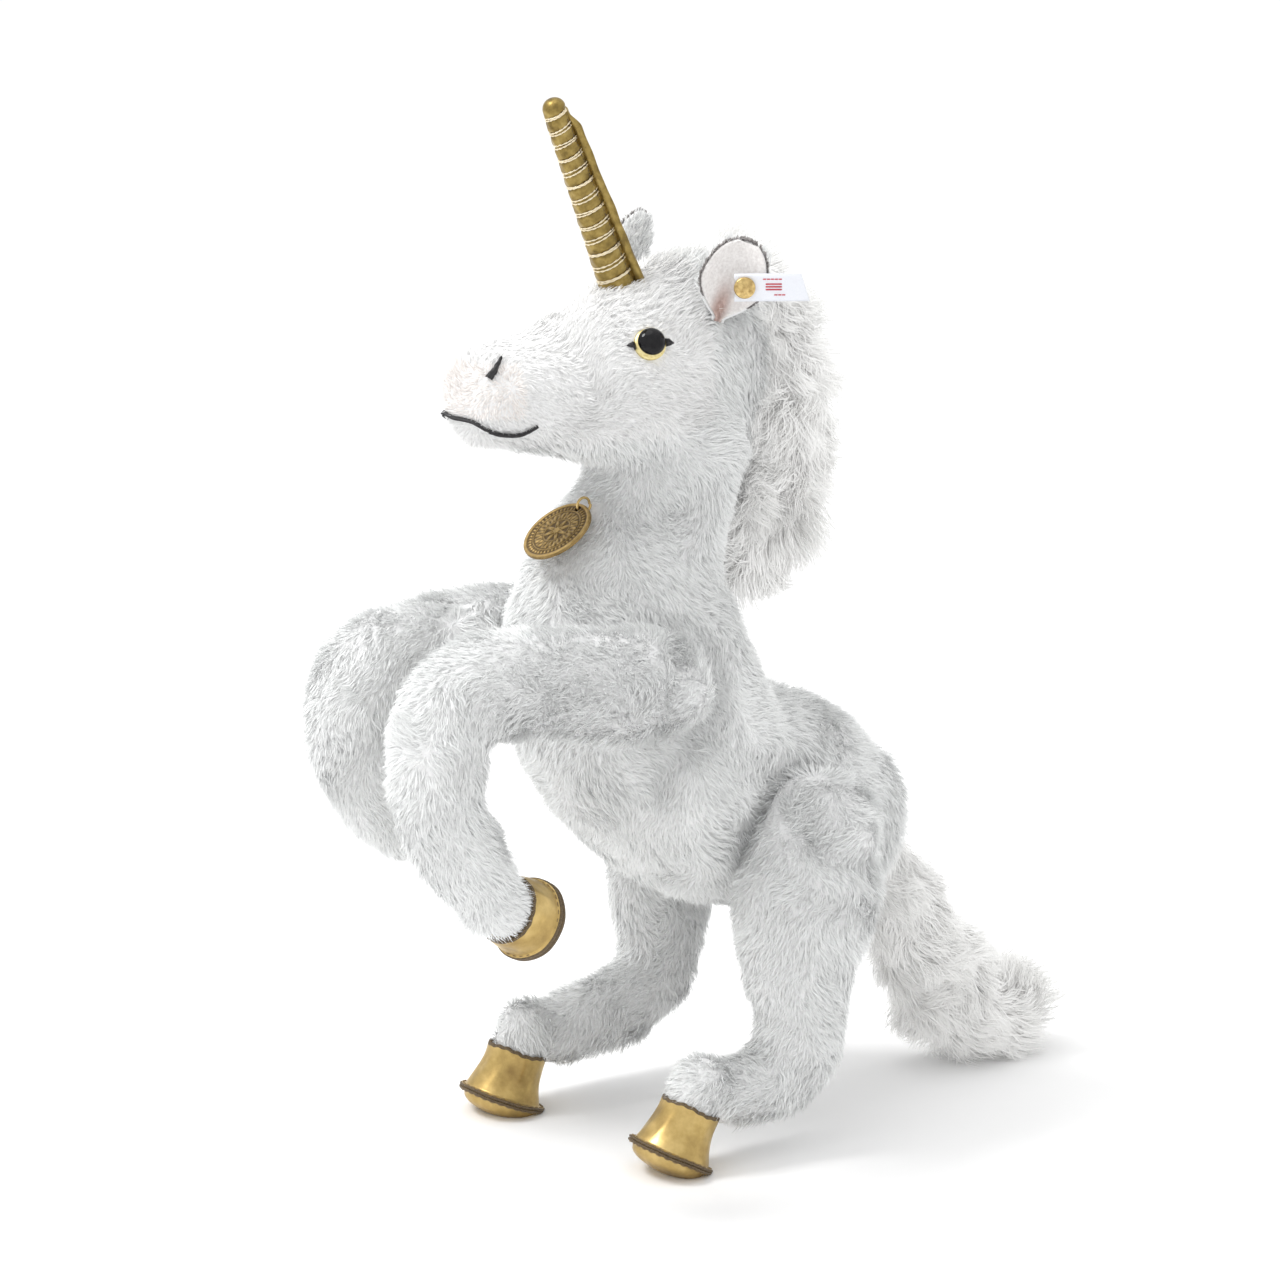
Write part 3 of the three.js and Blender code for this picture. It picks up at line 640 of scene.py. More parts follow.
BLACK_THREAD = matte("black_thread", (0.035, 0.033, 0.035), (0.008, 0.008, 0.009), 0.25, 0.6)
RIBBON = matte(
    "ribbon", (0.86, 0.88, 0.93), (0.76, 0.78, 0.84), 0.35, 0.6, 0.6, 0.12, stretch=(1, 1, 3)
)
RIBBON_RED = matte("ribbon_red", (0.62, 0.05, 0.08), (0.42, 0.02, 0.04), 0.3, 0.6)
EYE_GOLD = metal("eye_gold", (0.86, 0.76, 0.42), (0.62, 0.50, 0.20), 0.3, 0.8)
EYE_BLACK = eye_glass()
LINING = lining()


# ------------------------------------------------------------------------- fur
FUR_DENSITY = 2.3  # strands on a square millimetre
FLOOR_GAP = 0.25  # the lowest that a strand may reach
SKIN_LOWEST = 1.0  # the lowest that the skin under it may reach
MOST_FACES = 190_000  # of one piece of fur, and more are split into pieces
SHORT = dict(width=0.28, wave=0.7, clump=7, pull=0.4, levels=3)  # the cover's pile


def corners_of(ob):
    """An object's points and its triangles."""
    mesh = ob.data
    mesh.calc_loop_triangles()
    tris = np.zeros(len(mesh.loop_triangles) * 3, np.int32)
    mesh.loop_triangles.foreach_get("vertices", tris)
    return points_of(ob), tris.reshape(-1, 3)


def vertex_normals(points, tris):
    a, b, c = (points[tris[:, i]] for i in range(3))
    n = np.cross(b - a, c - a)
    out = np.zeros_like(points)
    for i in range(3):
        np.add.at(out, tris[:, i], n)
    return unit(out)


def roots_on(ob, density, rng):
    """Random places on a skin, with the smooth normal there. density is a number of
    strands per square millimetre, or a function that gives it at each place."""
    points, tris = corners_of(ob)
    normals = vertex_normals(points, tris)
    a, b, c = (points[tris[:, i]] for i in range(3))
    area = np.linalg.norm(np.cross(b - a, c - a), axis=1) / 2
    mid = (a + b + c) / 3
    per = density(mid) if callable(density) else np.full(len(mid), density)
    count = rng.poisson(np.maximum(area * per, 0))
    idx = np.repeat(np.arange(len(tris)), count)
    u, v = rng.random((2, len(idx)))
    flip = u + v > 1
    u, v = np.where(flip, 1 - u, u), np.where(flip, 1 - v, v)
    w = np.stack([1 - u - v, u, v], 1)[..., None]
    return (points[tris[idx]] * w).sum(1), unit((normals[tris[idx]] * w).sum(1))


def along_line(root, stations, steps):
    """Points on the line through stations, the ways there, and each root's nearest."""
    ts = np.linspace(0, 1, steps)
    line = curve(stations[:, :3], ts)
    near = np.argmin(((root[:, None] - line[None]) ** 2).sum(2), axis=1)
    return line, tangents(stations[:, :3], ts), near


def leaders_of(root, clump, rng):
    """For each root the nearest of some chosen roots, that lead a clump each."""
    n = len(root)
    leaders = rng.choice(n, max(1, n // clump), replace=False)
    tree = kdtree.KDTree(len(leaders))
    for i, p in enumerate(root[leaders]):
        tree.insert(p, i)
    tree.balance()
    return leaders[np.array([tree.find(p)[1] for p in root])]


def strand_lines(root, normal, flow, rng, length, lean, clump, pull, wave, turns, levels, jitter):
    """Each strand's middle line, with its normal and the direction to its side."""
    n = len(root)
    length = np.broadcast_to(length, n) * rng.uniform(0.75, 1.2, n)
    lean = np.broadcast_to(lean, n) + rng.normal(0, jitter * 0.6, n)
    flow = unit(flow - normal * (flow * normal).sum(1, keepdims=True))
    flow = unit(flow + np.cross(normal, flow) * rng.normal(0, jitter, (n, 1)))
    side = np.cross(normal, flow)
    lead = leaders_of(root, clump, rng)
    phase = rng.uniform(0, 2 * math.pi, n)
    phase = np.where(rng.random(n) < 0.75, phase[lead] + rng.normal(0, 0.5, n), phase)

    def course(t, own):
        size = length[own][:, None]
        up = (np.cos(lean) * t)[own][:, None]
        out = (np.sin(lean) * t**1.5)[own][:, None]
        sway = (wave * length[own] / 6 * t**1.2)[:, None]
        turn = (phase[own] + turns * 2 * math.pi * t)[:, None]
        return (
            root[own] + size * (normal[own] * up + flow[own] * out)
            + side[own] * sway * np.sin(turn) + normal[own] * 0.5 * sway * np.cos(turn)
        )

    lines = []
    for t in np.linspace(0, 1, levels):
        c = course(t, np.arange(n))
        lines.append(c + (course(t, lead) - c) * pull * t**1.3)
    lines = np.stack(lines, 1)  # strand, level, xyz
    lines[..., 2] = np.maximum(lines[..., 2], FLOOR_GAP)
    return lines, normal, side


def ribbons(lines, normal, side, width, rng):
    """A flat ribbon along each line: its left points, its right ones and its tip, and
    where each of them lies in the strand's cell of the map."""
    n, levels = lines.shape[:2]
    last = levels - 1
    steps = np.linspace(0, 1, levels)[:-1]
    way = unit(np.gradient(lines, axis=1))
    tilt = rng.normal(0, 0.4, (n, 1))
    outside = normal * np.cos(tilt) + side * np.sin(tilt)
    across = unit(np.cross(way, outside[:, None]))[:, :-1]
    half = width / 2 * rng.uniform(0.75, 1.3, n)[:, None, None]
    half = half * (1 - 0.45 * steps**1.5)[None, :, None]
    left, right = lines[:, :last] - across * half, lines[:, :last] + across * half
    verts = np.concatenate([left, right, lines[:, last:]], 1)
    verts[..., 2] = np.maximum(verts[..., 2], FLOOR_GAP)
    cell = rng.integers(0, UV_COLUMNS * UV_ROWS, n)
    corner = np.stack([cell % UV_COLUMNS / UV_COLUMNS, cell // UV_COLUMNS / UV_ROWS], 1)
    u = np.concatenate([np.full(last, 0.12), np.full(last, 0.88), [0.5]]) / UV_COLUMNS
    v = (0.04 + 0.92 * np.concatenate([steps, steps, [1.0]])) / UV_ROWS
    return verts, corner[:, None] + np.stack([u, v], 1)[None]


def strands(name, root, normal, flow, mat, seed, *, length, lean, body="torso", slot="fur",
            width=0.5, clump=14, pull=0.55, wave=0.5, turns=1.0, levels=4, jitter=0.35,
            keep=None):
    """Fur: a curved ribbon tuft at each root. length and lean (radians from upright) may
    be arrays. Tufts gather towards the leader of their clump."""
    rng = np.random.default_rng(seed)
    lines, normal, side = strand_lines(
        root, normal, flow, rng, length, lean, clump, pull, wave, turns, levels, jitter
    )
    if keep is not None:
        kept = keep(lines)
        lines, normal, side = lines[kept], normal[kept], side[kept]
    verts, uv = ribbons(lines, normal, side, width, rng)
    n, per = verts.shape[:2]
    last = levels - 1
    chunks = math.ceil(n * (2 * last - 1) / MOST_FACES)
    order = np.argsort(lines[:, 0, 2], kind="stable")
    for i in range(chunks):
        pick = np.sort(order[i * n // chunks:(i + 1) * n // chunks])
        first = (np.arange(len(pick)) * per)[:, None]
        quads = [first + [j, last + j, last + j + 1, j + 1] for j in range(last - 1)]
        tips = first + [last - 1, 2 * last - 1, 2 * last]
        piece(
            name if chunks == 1 else f"{name}_{i + 1}",
            (verts[pick].reshape(-1, 3), [np.concatenate(quads), tips]),
            body, mat, uv=uv[pick].reshape(-1, 2),
        )


# --------------------------------------------------------------- trunk and head
EYE_AT = np.array([23.0, 3.6, 271.5])
EYE_NORMAL = unit([0.82, -0.3, 0.48])
HORN_AT = np.array([0.0, 8.7, 283.4])
HORN_LEAN = math.radians(22.5)
HORN_WAY = np.array([0.0, -math.sin(HORN_LEAN), math.cos(HORN_LEAN)])
MEDAL_AT = np.array([6.0, -20.6, 210.2])
TILT = math.radians(36)  # how far the medal's face leans forwards from level
MEDAL_FACE = np.array([0.0, -math.sin(TILT), math.cos(TILT)])
BELLY_ROUND = 7.5  # how much wider the belly is between the legs than under them
FACE_HEIGHT = (236, 246)  # between these heights the neck's fur turns into the face's
FUR_LENGTH, FACE_LENGTH = 5.2, 3.5
FUR_LEAN = 1.1  # radians from upright


def from_axis(points, axis):
    """Distances of points from a leg's axis."""
    return np.hypot(points[:, 1] - axis[0], points[:, 2] - axis[1])


def from_eyes(points):
    """Distances of points from the nearer eye."""
    left, right = (np.linalg.norm(points - EYE_AT * [side, 1, 1], axis=-1) for side in (1, -1))
    return np.minimum(left, right)


def press_flanks(ob):
    """Keeps the trunk flat where the legs turn against it, and rounder between them."""
    p = points_of(ob)
    free = smooth(21, 36, from_axis(p, SHOULDER)) * smooth(25, 38, from_axis(p, HIP))
    free *= smooth(0, 14, p[:, 1]) * smooth(100, 118, p[:, 2])
    limit = FLANK + BELLY_ROUND * free
    p[:, 0] = np.clip(p[:, 0], -limit, limit)
    set_points(ob, p)
    return p


def make_torso():
    """The trunk, neck and head as one skin, and a tree to find places on it."""
    trunk = tube(middle(TRUNK), domes=DOMES["trunk"], grow=-ROOM["trunk"])
    head = tube(middle(HEAD), domes=DOMES["head"], grow=-ROOM["head"])
    skin = remeshed("torso_skin", merged([trunk, head]), voxel=2.6, rounds=5)
    press_flanks(skin)
    inflate(skin, pressure=2.0, cap=1.2)
    p = press_flanks(skin)
    skinned(skin, "torso", ["body_cover_left", "body_cover_right", "body_stuffing"])
    return skin, BVHTree.FromPolygons(p.tolist(), corners_of(skin)[1].tolist())


TORSO, TORSO_TREE = make_torso()


def on_torso(point, inwards, far=60.0):
    """Where a line going inwards through a point first meets the torso's skin, and the
    normal there."""
    way = Vector(unit(inwards))
    hit, normal, _, _ = TORSO_TREE.ray_cast(Vector(point) - way * far, way, far * 3)
    return np.array(hit), np.array(normal)


def clear_of_fittings(lines):
    """Strands that would stick through the medal or an eye are left out."""
    at = lines - MEDAL_AT
    near = (np.abs(at @ MEDAL_FACE) < 3.0) & (np.linalg.norm(at, axis=2) < 13.6)
    return ~(near | (from_eyes(lines) < 5.6)).any(1)


def torso_density(at):
    """No fur under the legs, the eyes and the horn, and a little more on the face."""
    pressed = (from_axis(at, SHOULDER) < 17) | (from_axis(at, HIP) < 20)
    under_leg = (np.abs(at[:, 0]) > FLANK - 0.6) & pressed
    face = smooth(*FACE_HEIGHT, at[:, 2]) * smooth(30, 16, at[:, 1])
    from_horn = np.linalg.norm(np.cross(at - HORN_AT, HORN_WAY), axis=1)
    bare = under_leg | (from_eyes(at) < 5.3) | ((from_horn < 6.2) & (at[:, 2] > 270))
    return np.where(bare, 0, FUR_DENSITY + 0.6 * face)


def torso_fur():
    root, normal = roots_on(TORSO, torso_density, np.random.default_rng(11))
    y, z = root[:, 1], root[:, 2]
    face = smooth(*FACE_HEIGHT, z) * smooth(34, 18, y)
    muzzle = face * smooth(-18, -34, y)
    poll = smooth(272, 282, z) * smooth(12, 26, y)  # between the ears
    length = FUR_LENGTH + (FACE_LENGTH - FUR_LENGTH) * face - 0.8 * muzzle + 3.6 * poll
    length = length + 0.45 * waves(root, 26, 3)
    length = np.where(from_eyes(root) < 9, np.minimum(length, 2.4), length)
    from_medal = np.linalg.norm(root - MEDAL_AT, axis=1)
    length = np.where(from_medal < 14, np.minimum(length, 4.0), length)
    lean = FUR_LEAN + 0.11 * waves(root, 22, 4) - 0.25 * poll
    body_way = np.array([0.0, 0.35, -1.0]) + np.zeros_like(root)
    face_way = np.array([0.0, 1.0, -0.18]) + np.zeros_like(root)
    way = body_way * (1 - face[:, None]) + face_way * face[:, None]
    way = way + 0.55 * eddies(root, (30, 30, 30), 5)
    is_muzzle = (y < -40) & (z > 252) & (z < 268)
    is_face = (face > 0.5) & ~is_muzzle
    groups = [
        ("muzzle_fur", is_muzzle, BLUSH_FUR, 0.25), ("face_fur", is_face, FACE_FUR, 0.25),
        ("torso_fur", ~is_muzzle & ~is_face, FUR, 0.28),
    ]
    for i, (name, pick, mat, width) in enumerate(groups):
        strands(
            name, root[pick], normal[pick], way[pick], mat, 20 + i, length=length[pick],
            lean=lean[pick], keep=clear_of_fittings, **dict(SHORT, width=width),
        )


torso_fur()


# ------------------------------------------------------------------------- legs
def placed(leg):
    """A leg's stations, its hoof's place and its hoof's way, on the leg's own side."""
    mirror = np.array([leg["side"], 1, 1])
    stations = np.array(leg["stations"], float)
    stations[:, 0] *= leg["side"]
    return stations, leg["at"] * mirror, unit(leg["toe"] * mirror)


def flatten(skin, leg, thin=0.0):
    """Keeps a leg's inner side flat and off the trunk and the floor. thin takes its
    outer side in, round and behind the joint."""
    p = points_of(skin)
    side, joint = leg["side"], leg["joint"]
    stations = np.array(leg["stations"], float)
    forwards = unit((stations[1] - stations[0])[1:3])
    away = (p[:, 1:] - joint) @ forwards
    k = 1 - thin * smooth(0, 20, from_axis(p, joint)) * smooth(17, -3, away)
    out = LEG_FACE + (side * p[:, 0] - LEG_FACE) * k
    p[:, 0] = side * np.maximum(out, LEG_FACE + 0.15)
    p[:, 2] = np.maximum(p[:, 2], SKIN_LOWEST)
    set_points(skin, p)


def leg_skin(name, leg):
    stations, at, toe = placed(leg)
    limb = tube(stations, sides=28, steps=5, domes=DOMES["leg"], grow=-ROOM["leg"])
    line = at + toe * np.linspace(-13, 3.0, 9)[:, None]
    cuff = cord_of(line, leg["hoof"]["top"] - 1.9, sides=28)
    skin = remeshed(f"{name}_leg_skin", merged([limb, cuff]), voxel=2.4, rounds=4)
    flatten(skin, leg, thin=0.62)
    inflate(skin, pressure=2.0, cap=1.0)
    flatten(skin, leg)
    skinned(skin, f"{name}_leg", [f"{name}_leg_cover", f"{name}_leg_stuffing"])
    return skin


def leg_fur(name, leg, skin, seed):
    side, joint, hoof = leg["side"], leg["joint"], leg["hoof"]
    stations, at, toe = placed(leg)

    def density(mid):
        hidden = (side * mid[:, 0] < LEG_FACE + 1.2) & (from_axis(mid, joint) < 17)
        past = (mid - at) @ toe > 0.2
        near = np.linalg.norm(np.cross(mid - at, toe), axis=1) < hoof["top"] + 4
        return np.where(hidden | (past & near), 0, FUR_DENSITY)

    def clear_of_hoof(lines):
        past = (lines - at) @ toe > 1.6
        near = np.linalg.norm(np.cross(lines - at, toe), axis=2) < hoof["flange"] + 2
        return ~(past & near).any(1)

    root, normal = roots_on(skin, density, np.random.default_rng(seed))
    _, ways, near = along_line(root, stations, 70)
    from_hoof = np.linalg.norm(root - at, axis=1)
    from_joint = from_axis(root, joint)
    out = side * root[:, 0]
    inner = smooth(LEG_FACE + 3, LEG_FACE + 0.5, out) * smooth(26, 20, from_joint)
    # fur round the edge of the joint leans over the trunk and covers the gap
    edge = smooth(LEG_FACE + 7, LEG_FACE + 1, out) * smooth(14, 17, from_joint)
    edge = edge * smooth(34, 24, from_joint)
    end = smooth(10, 0, from_hoof - hoof["top"])[:, None]
    flow = ways[near] * (1 - end) + toe * end
    flow = flow + 0.45 * eddies(root, (24, 24, 24), seed + 1)
    flow = flow - (0.9 * side * edge)[:, None] * X
    cuffed = smooth(7, 1, -((root - at) @ toe)) * (from_hoof < hoof["top"] + 6)
    length = 5.0 + 0.45 * waves(root, 20, seed + 4) - 2.0 * inner
    length = length + 2.6 * edge
    length = length - 0.6 * cuffed
    lean = 1.08 + 0.11 * waves(root, 18, seed + 5) + 0.2 * inner + 0.2 * cuffed
    strands(
        f"{name}_leg_fur", root, normal, flow, FUR, seed + 6, length=length, lean=lean,
        body=f"{name}_leg", keep=clear_of_hoof, **SHORT,
    )


for i, (name, leg) in enumerate(LEGS.items()):
    leg_fur(name, leg, leg_skin(name, leg), 100 + 20 * i)


# ------------------------------------------------------------------------ hooves
HOOF_SIDES = 96
EDGE_GAP = 0.42  # from a hoof's height to the face of its sole
STITCHES = 30  # round each hoof
STITCH_SPAN = (0.12, 0.72)  # where a stitch starts and ends, as shares of its place
STITCH_RADIUS = 0.24


def ripple(turn, phases):
    """An uneven wave round a hoof's sewn edge."""
    return (
        0.5 * np.sin(2 * turn + phases[0]) + 0.35 * np.sin(3 * turn + phases[1])
        + 0.2 * np.sin(7 * turn + phases[2])
    )


def rippled(radius, h, turn, edge, phases):
    """A ring of the sewn edge, rippled outwards and up and down."""
    return radius + edge * 0.22 * ripple(turn, phases), h + edge * 0.3 * ripple(turn + 1, phases)


def wall_profile(hoof, low, hollow):
    """The wall: a ragged upper edge, a hollow or bulging side and the flange."""
    top, bottom, flange, height = (hoof[k] for k in ("top", "bottom", "flange", "height"))
    upper = [[0, 1.0], [top - 1.6, 1.0], [top - 1.5, 0.1], [top - 0.6, -0.35], [top - 0.1, -0.1]]
    side = [
        [top + (bottom - top) * t**1.2 - hollow * math.sin(math.pi * t), 0.4 + t * (low - 1.2)]
        for t in np.linspace(0.03, 1, 14)
    ]
    edge = [
        [bottom + 0.15, low - 0.35], [bottom + 0.6, low - 0.05], [flange - 0.35, low],
        [flange, low + 0.25], [flange + 0.05, height + 0.1], [flange - 0.15, height + 0.3],
        [bottom - 1, height + 0.35], [bottom - 2, height + 0.3], [0, height + 0.3],
    ]
    return upper + side + edge


def sole_profile(hoof, face, rim, full):
    """The sole: its flange and a stuffed pad that stands out by full."""
    bottom, flange = hoof["bottom"], hoof["flange"]
    pad = bottom - 0.1
    edge = [
        [0, face], [bottom - 2, face], [flange - 0.3, face], [flange - 0.02, face + 0.2],
        [flange - 0.05, face + rim - 0.2], [flange - 0.35, face + rim],
        [pad + 0.55, face + rim], [pad + 0.15, face + rim + 0.25],
    ]
    dome = [
        [pad * math.cos(a), face + rim + full * math.sin(a) ** 0.85]
        for a in np.radians([8, 16, 26, 36, 46, 56, 66, 75, 83])
    ]
    return edge + dome + [[0, face + rim + full]]


def edge_faces(profile, edge_from, edge_to, upper=0):
    """Material numbers of a turned shape's faces: 1 on the raw edges' rows."""
    rows = np.repeat(np.arange(len(profile) - 3), HOOF_SIDES)
    raw = ((rows >= edge_from) & (rows < edge_to)) | (rows < upper)
    return np.concatenate([raw.astype(int), np.zeros(2 * HOOF_SIDES, int)])


def above_floor(shape):
    points, blocks = shape
    points[:, 2] = np.maximum(points[:, 2], 0.0)
    return points, blocks


def make_hoof(name, leg, seed):
    _, at, toe = placed(leg)
    hoof, body = leg["hoof"], f"{name}_leg"
    bottom, flange, height = hoof["bottom"], hoof["flange"], hoof["height"]
    front = name.startswith("front")
    phases = np.random.default_rng(seed).uniform(0, 2 * math.pi, 6)
    rim = 1.5 if front else 0.95  # thickness of each of the two edges sewn together
    hollow = -0.25 if front else 0.75
    low = height - rim + 0.35  # underside of the wall's edge
    face = height + EDGE_GAP
    full = hoof["bulge"] + 1.25 - rim

    def leather(radius, h, turn):
        share = np.clip(h / height, 0, 1)
        fold = 0.16 * np.sin(5 * turn + phases[3] + 4 * share) * np.sin(math.pi * share)
        fold = fold + 0.1 * np.sin(11 * turn + phases[4] - 6 * share) * np.sin(math.pi * share)
        ragged = 0.7 * np.sin(4 * turn + phases[5]) + 0.35 * np.sin(17 * turn + phases[1])
        h = h + np.where(share < 0.06, ragged * 0.5, 0)
        edge = smooth(bottom + 0.3, flange, radius)
        return rippled(radius + fold, h, turn, edge, phases)

    def under(radius, h, turn):
        edge = smooth(bottom + 0.3, flange, radius)
        pad = smooth(face + rim + 0.1, face + rim + full, h)
        fold = 0.2 * np.sin(3 * turn + phases[0]) * pad * (1 - pad) * 4
        pucker = 0.07 * np.sin(30 * turn) * smooth(0.0, 0.3, pad) * smooth(0.6, 0.2, pad)
        return rippled(radius + fold + pucker, h, turn, edge, phases)

    wall = wall_profile(hoof, low, hollow)
    sole = sole_profile(hoof, face, rim, full)
    edge_row = len(wall) - 8
    shown = [
        ("leather", "wall", wall, leather, edge_faces(wall, edge_row, edge_row + 3, 4)),
        ("pad", "sole", sole, under, edge_faces(sole, 1, 4)),
    ]
    for ending, node, profile, shape, parts in shown:
        piece(
            f"{name}_hoof_{ending}",
            above_floor(lathe(profile, HOOF_SIDES, at, toe, shape)),
            body, [LEATHER, RAW_EDGE], [f"{name}_hoof_{node}"], parts=parts,
        )

    # running stitches above and below the flange
    side, other = frame_of(toe)
    lift = 0.22 * np.sin(np.linspace(0, math.pi, 5))
    shapes = []
    for i in range(STITCHES):
        turns = 2 * math.pi * (i + np.linspace(*STITCH_SPAN, 5)) / STITCHES
        for h, way in ((low + 0.02, -1), (face + rim - 0.02, 1)):
            radius, h = rippled(flange - 0.85, h + way * lift, turns, 0.8, phases)
            path = at + radius[:, None] * around(turns, side, other) + h[:, None] * toe
            path[:, 2] = np.maximum(path[:, 2], 0.3)
            shapes.append(cord_of(path, STITCH_RADIUS, 6))
    piece(f"{name}_hoof_stitches", merged(shapes), body, STITCH)


for i, (name, leg) in enumerate(LEGS.items()):
    make_hoof(name, leg, 300 + i)


# -------------------------------------------------------------------------- horn
HORN_LENGTH, HORN_BASE, HORN_TIP = 71.5, 6.4, 3.7
HORN_TURNS = 13  # of the thread
HORN_SIDES = 72
WOUND = (0.06 * HORN_LENGTH, 0.94 * HORN_LENGTH)  # the heights that the thread covers
SEAM_WAY = np.array([0.80, 0.60, 0.0])  # the seam runs up the animal's left, to the back
SEAM = unit(SEAM_WAY - HORN_WAY * (SEAM_WAY @ HORN_WAY))
SEAM_ACROSS = np.cross(HORN_WAY, SEAM)


def horn_radius(s):
    """The stuffed cone's outline at a distance s from its base, with a rounded tip."""
    s = np.asarray(s, float)
    cone = HORN_BASE + (HORN_TIP - HORN_BASE) * np.clip(s / (HORN_LENGTH - HORN_TIP), 0, 1)
    end = np.clip((s - (HORN_LENGTH - HORN_TIP)) / HORN_TIP, 0, 1)
    return cone * np.sqrt(np.maximum(1 - end**2.4, 0))


def on_horn(s, turn, lift):
    """A place at a distance s from the horn's base and a turn from its seam, lifted off
    the cone."""
    out = math.cos(turn) * SEAM + math.sin(turn) * SEAM_ACROSS
    return HORN_AT + HORN_WAY * s + (horn_radius(s) + lift) * out


def horn_pinch(s, turn):
    """How deep the wound thread pulls the leather in, from 0 to 1."""
    t = (s - WOUND[0]) / (WOUND[1] - WOUND[0])
    phase = (t * HORN_TURNS - turn / (2 * math.pi)) % 1.0
    off = np.minimum(phase, 1 - phase)
    return np.exp(-((off / 0.15) ** 2)) * ((t > -0.02) & (t < 1.02))


def horn_leather():
    """The stuffed cone, drawn in where the thread is wound."""
    # lathe measures its turn from frame_of's axes, and the thread from the seam
    side, other = frame_of(HORN_WAY)
    offset = math.atan2(SEAM @ other, SEAM @ side)

    def shape(radius, h, turn):
        turn = np.broadcast_to(turn - offset, h.shape)
        pinch = horn_pinch(h, turn)
        swell = 0.30 * (1 - pinch) - 0.30 * pinch
        fade = smooth(1, 5, h) * smooth(70.5, 65.5, h)
        wrinkle = 0.07 * np.sin(9 * turn + 0.9 * h) + 0.05 * np.sin(5 * turn - 1.7 * h)
        return radius + (swell + wrinkle) * fade, h

    cone = np.linspace(-4.5, 67.5, 190)
    tip = 67.8 + 3.68 * np.sin(np.linspace(0.02, 1.5, 14))
    profile = [[0, -5.0]]
    for s in np.concatenate([cone, tip]):
        profile.append([horn_radius(max(s, 0)) + 0.03 * max(-s, 0), s])
    profile.append([0, HORN_LENGTH])
    piece(
        "horn_leather", lathe(profile, HORN_SIDES, HORN_AT, HORN_WAY, shape), "torso",
        HORN_LEATHER, ["horn_cover", "horn_stuffing"],
    )


def horn_seam():
    """The seam's two raw edges stand out as a narrow double fin."""
    s = np.linspace(0.8, 66.0, 90)
    # each row across a fin: turn from its middle, share of its height, share of its lean
    across = [(-0.075, 0.45, 0.5), (-0.05, 1, 1), (0, 1, 1), (0.05, 1, 1), (0.075, 0.45, 0.5)]
    fins = []
    for j, turn in enumerate((-0.05, 0.05)):
        wave = 0.5 * np.sin(s * 0.23 + j) + 0.3 * np.sin(s * 0.61 + 2 * j)
        tall = (2.5 + 0.22 * wave) * smooth(66.5, 60, s) + 0.2
        foot = turn * 1.6
        rows = [[on_horn(x, foot - 0.09, -0.8) for x in s]]
        for off, share, _ in across:
            crest = 0.14 if off == 0 else 0
            rows.append([on_horn(x, turn + off, share * q + crest) for x, q in zip(s, tall)])
        rows.append([on_horn(x, foot + 0.09, -0.8) for x in s])
        lean = np.array([0] + [bend for _, _, bend in across] + [0])
        sway = (0.16 * np.sin(s * 0.4 + j))[:, None, None] * SEAM_ACROSS
        fins.append(capped(np.stack([np.array(r) for r in rows], 1) + sway * lean[None, :, None]))
    piece("horn_seam", merged(fins), "torso", HORN_LEATHER)


def horn_stitches():
    """Two rows of stitches along the foot of the seam."""
    long = 1.15
    stitches = []
    for i in range(35):
        start = 2.0 + 1.8 * i
        for turn in (0.34, -0.36):
            path = [
                on_horn(x, turn, 0.12 + 0.1 * math.sin((x - start) / long * math.pi))
                for x in np.linspace(start, start + long, 4)
            ]
            stitches.append(cord_of(path, 0.2, 6))
    piece("horn_stitches", merged(stitches), "torso", RAW_EDGE)


def horn_winding():
    """Two twisted pairs of metallic thread lie in the helical groove."""
    shapes = []
    for strand in range(4):
        pair = -0.42 if strand < 2 else 0.42
        start = strand / 2 + (0.3 if strand > 1 else 0)
        path = []
        for t in np.linspace(0, 1, HORN_TURNS * 40 + 1):
            s = WOUND[0] + (WOUND[1] - WOUND[0]) * t
            twist = 2 * math.pi * (t * HORN_TURNS * 8 + start)
            loose = 0.20 * math.sin(t * 47 + pair * 3) + 0.14 * math.sin(t * 131 + pair)
            along = s + pair + 0.16 * math.sin(twist) + loose
            turn = 2 * math.pi * HORN_TURNS * t
            path.append(on_horn(along, turn, 0.12 + 0.16 * math.cos(twist)))
        shapes.append(cord_of(path, 0.165, 5))
    piece("horn_winding", merged(shapes), "torso", GOLD_THREAD, ["horn_thread"])


def horn_fray():
    """Frayed leather at the base."""
    rng = np.random.default_rng(5)
    fray = []
    for _ in range(46):
        turn = rng.uniform(0, 2 * math.pi)
        far = rng.uniform(0.8, 2.4)
        root = on_horn(0.6, turn, 0.1)
        mid = on_horn(-0.6, turn + rng.normal(0, 0.08), far * 0.5)
        tip = on_horn(-1.0 - rng.uniform(0, 1.0), turn + rng.normal(0, 0.15), far)
        fray.append(cord_of([root, mid, tip], [0.28, 0.22, 0.06], 4))
    piece("horn_fray", merged(fray), "torso", GOLD_THREAD)


horn_leather()
horn_seam()
horn_stitches()
horn_winding()
horn_fray()


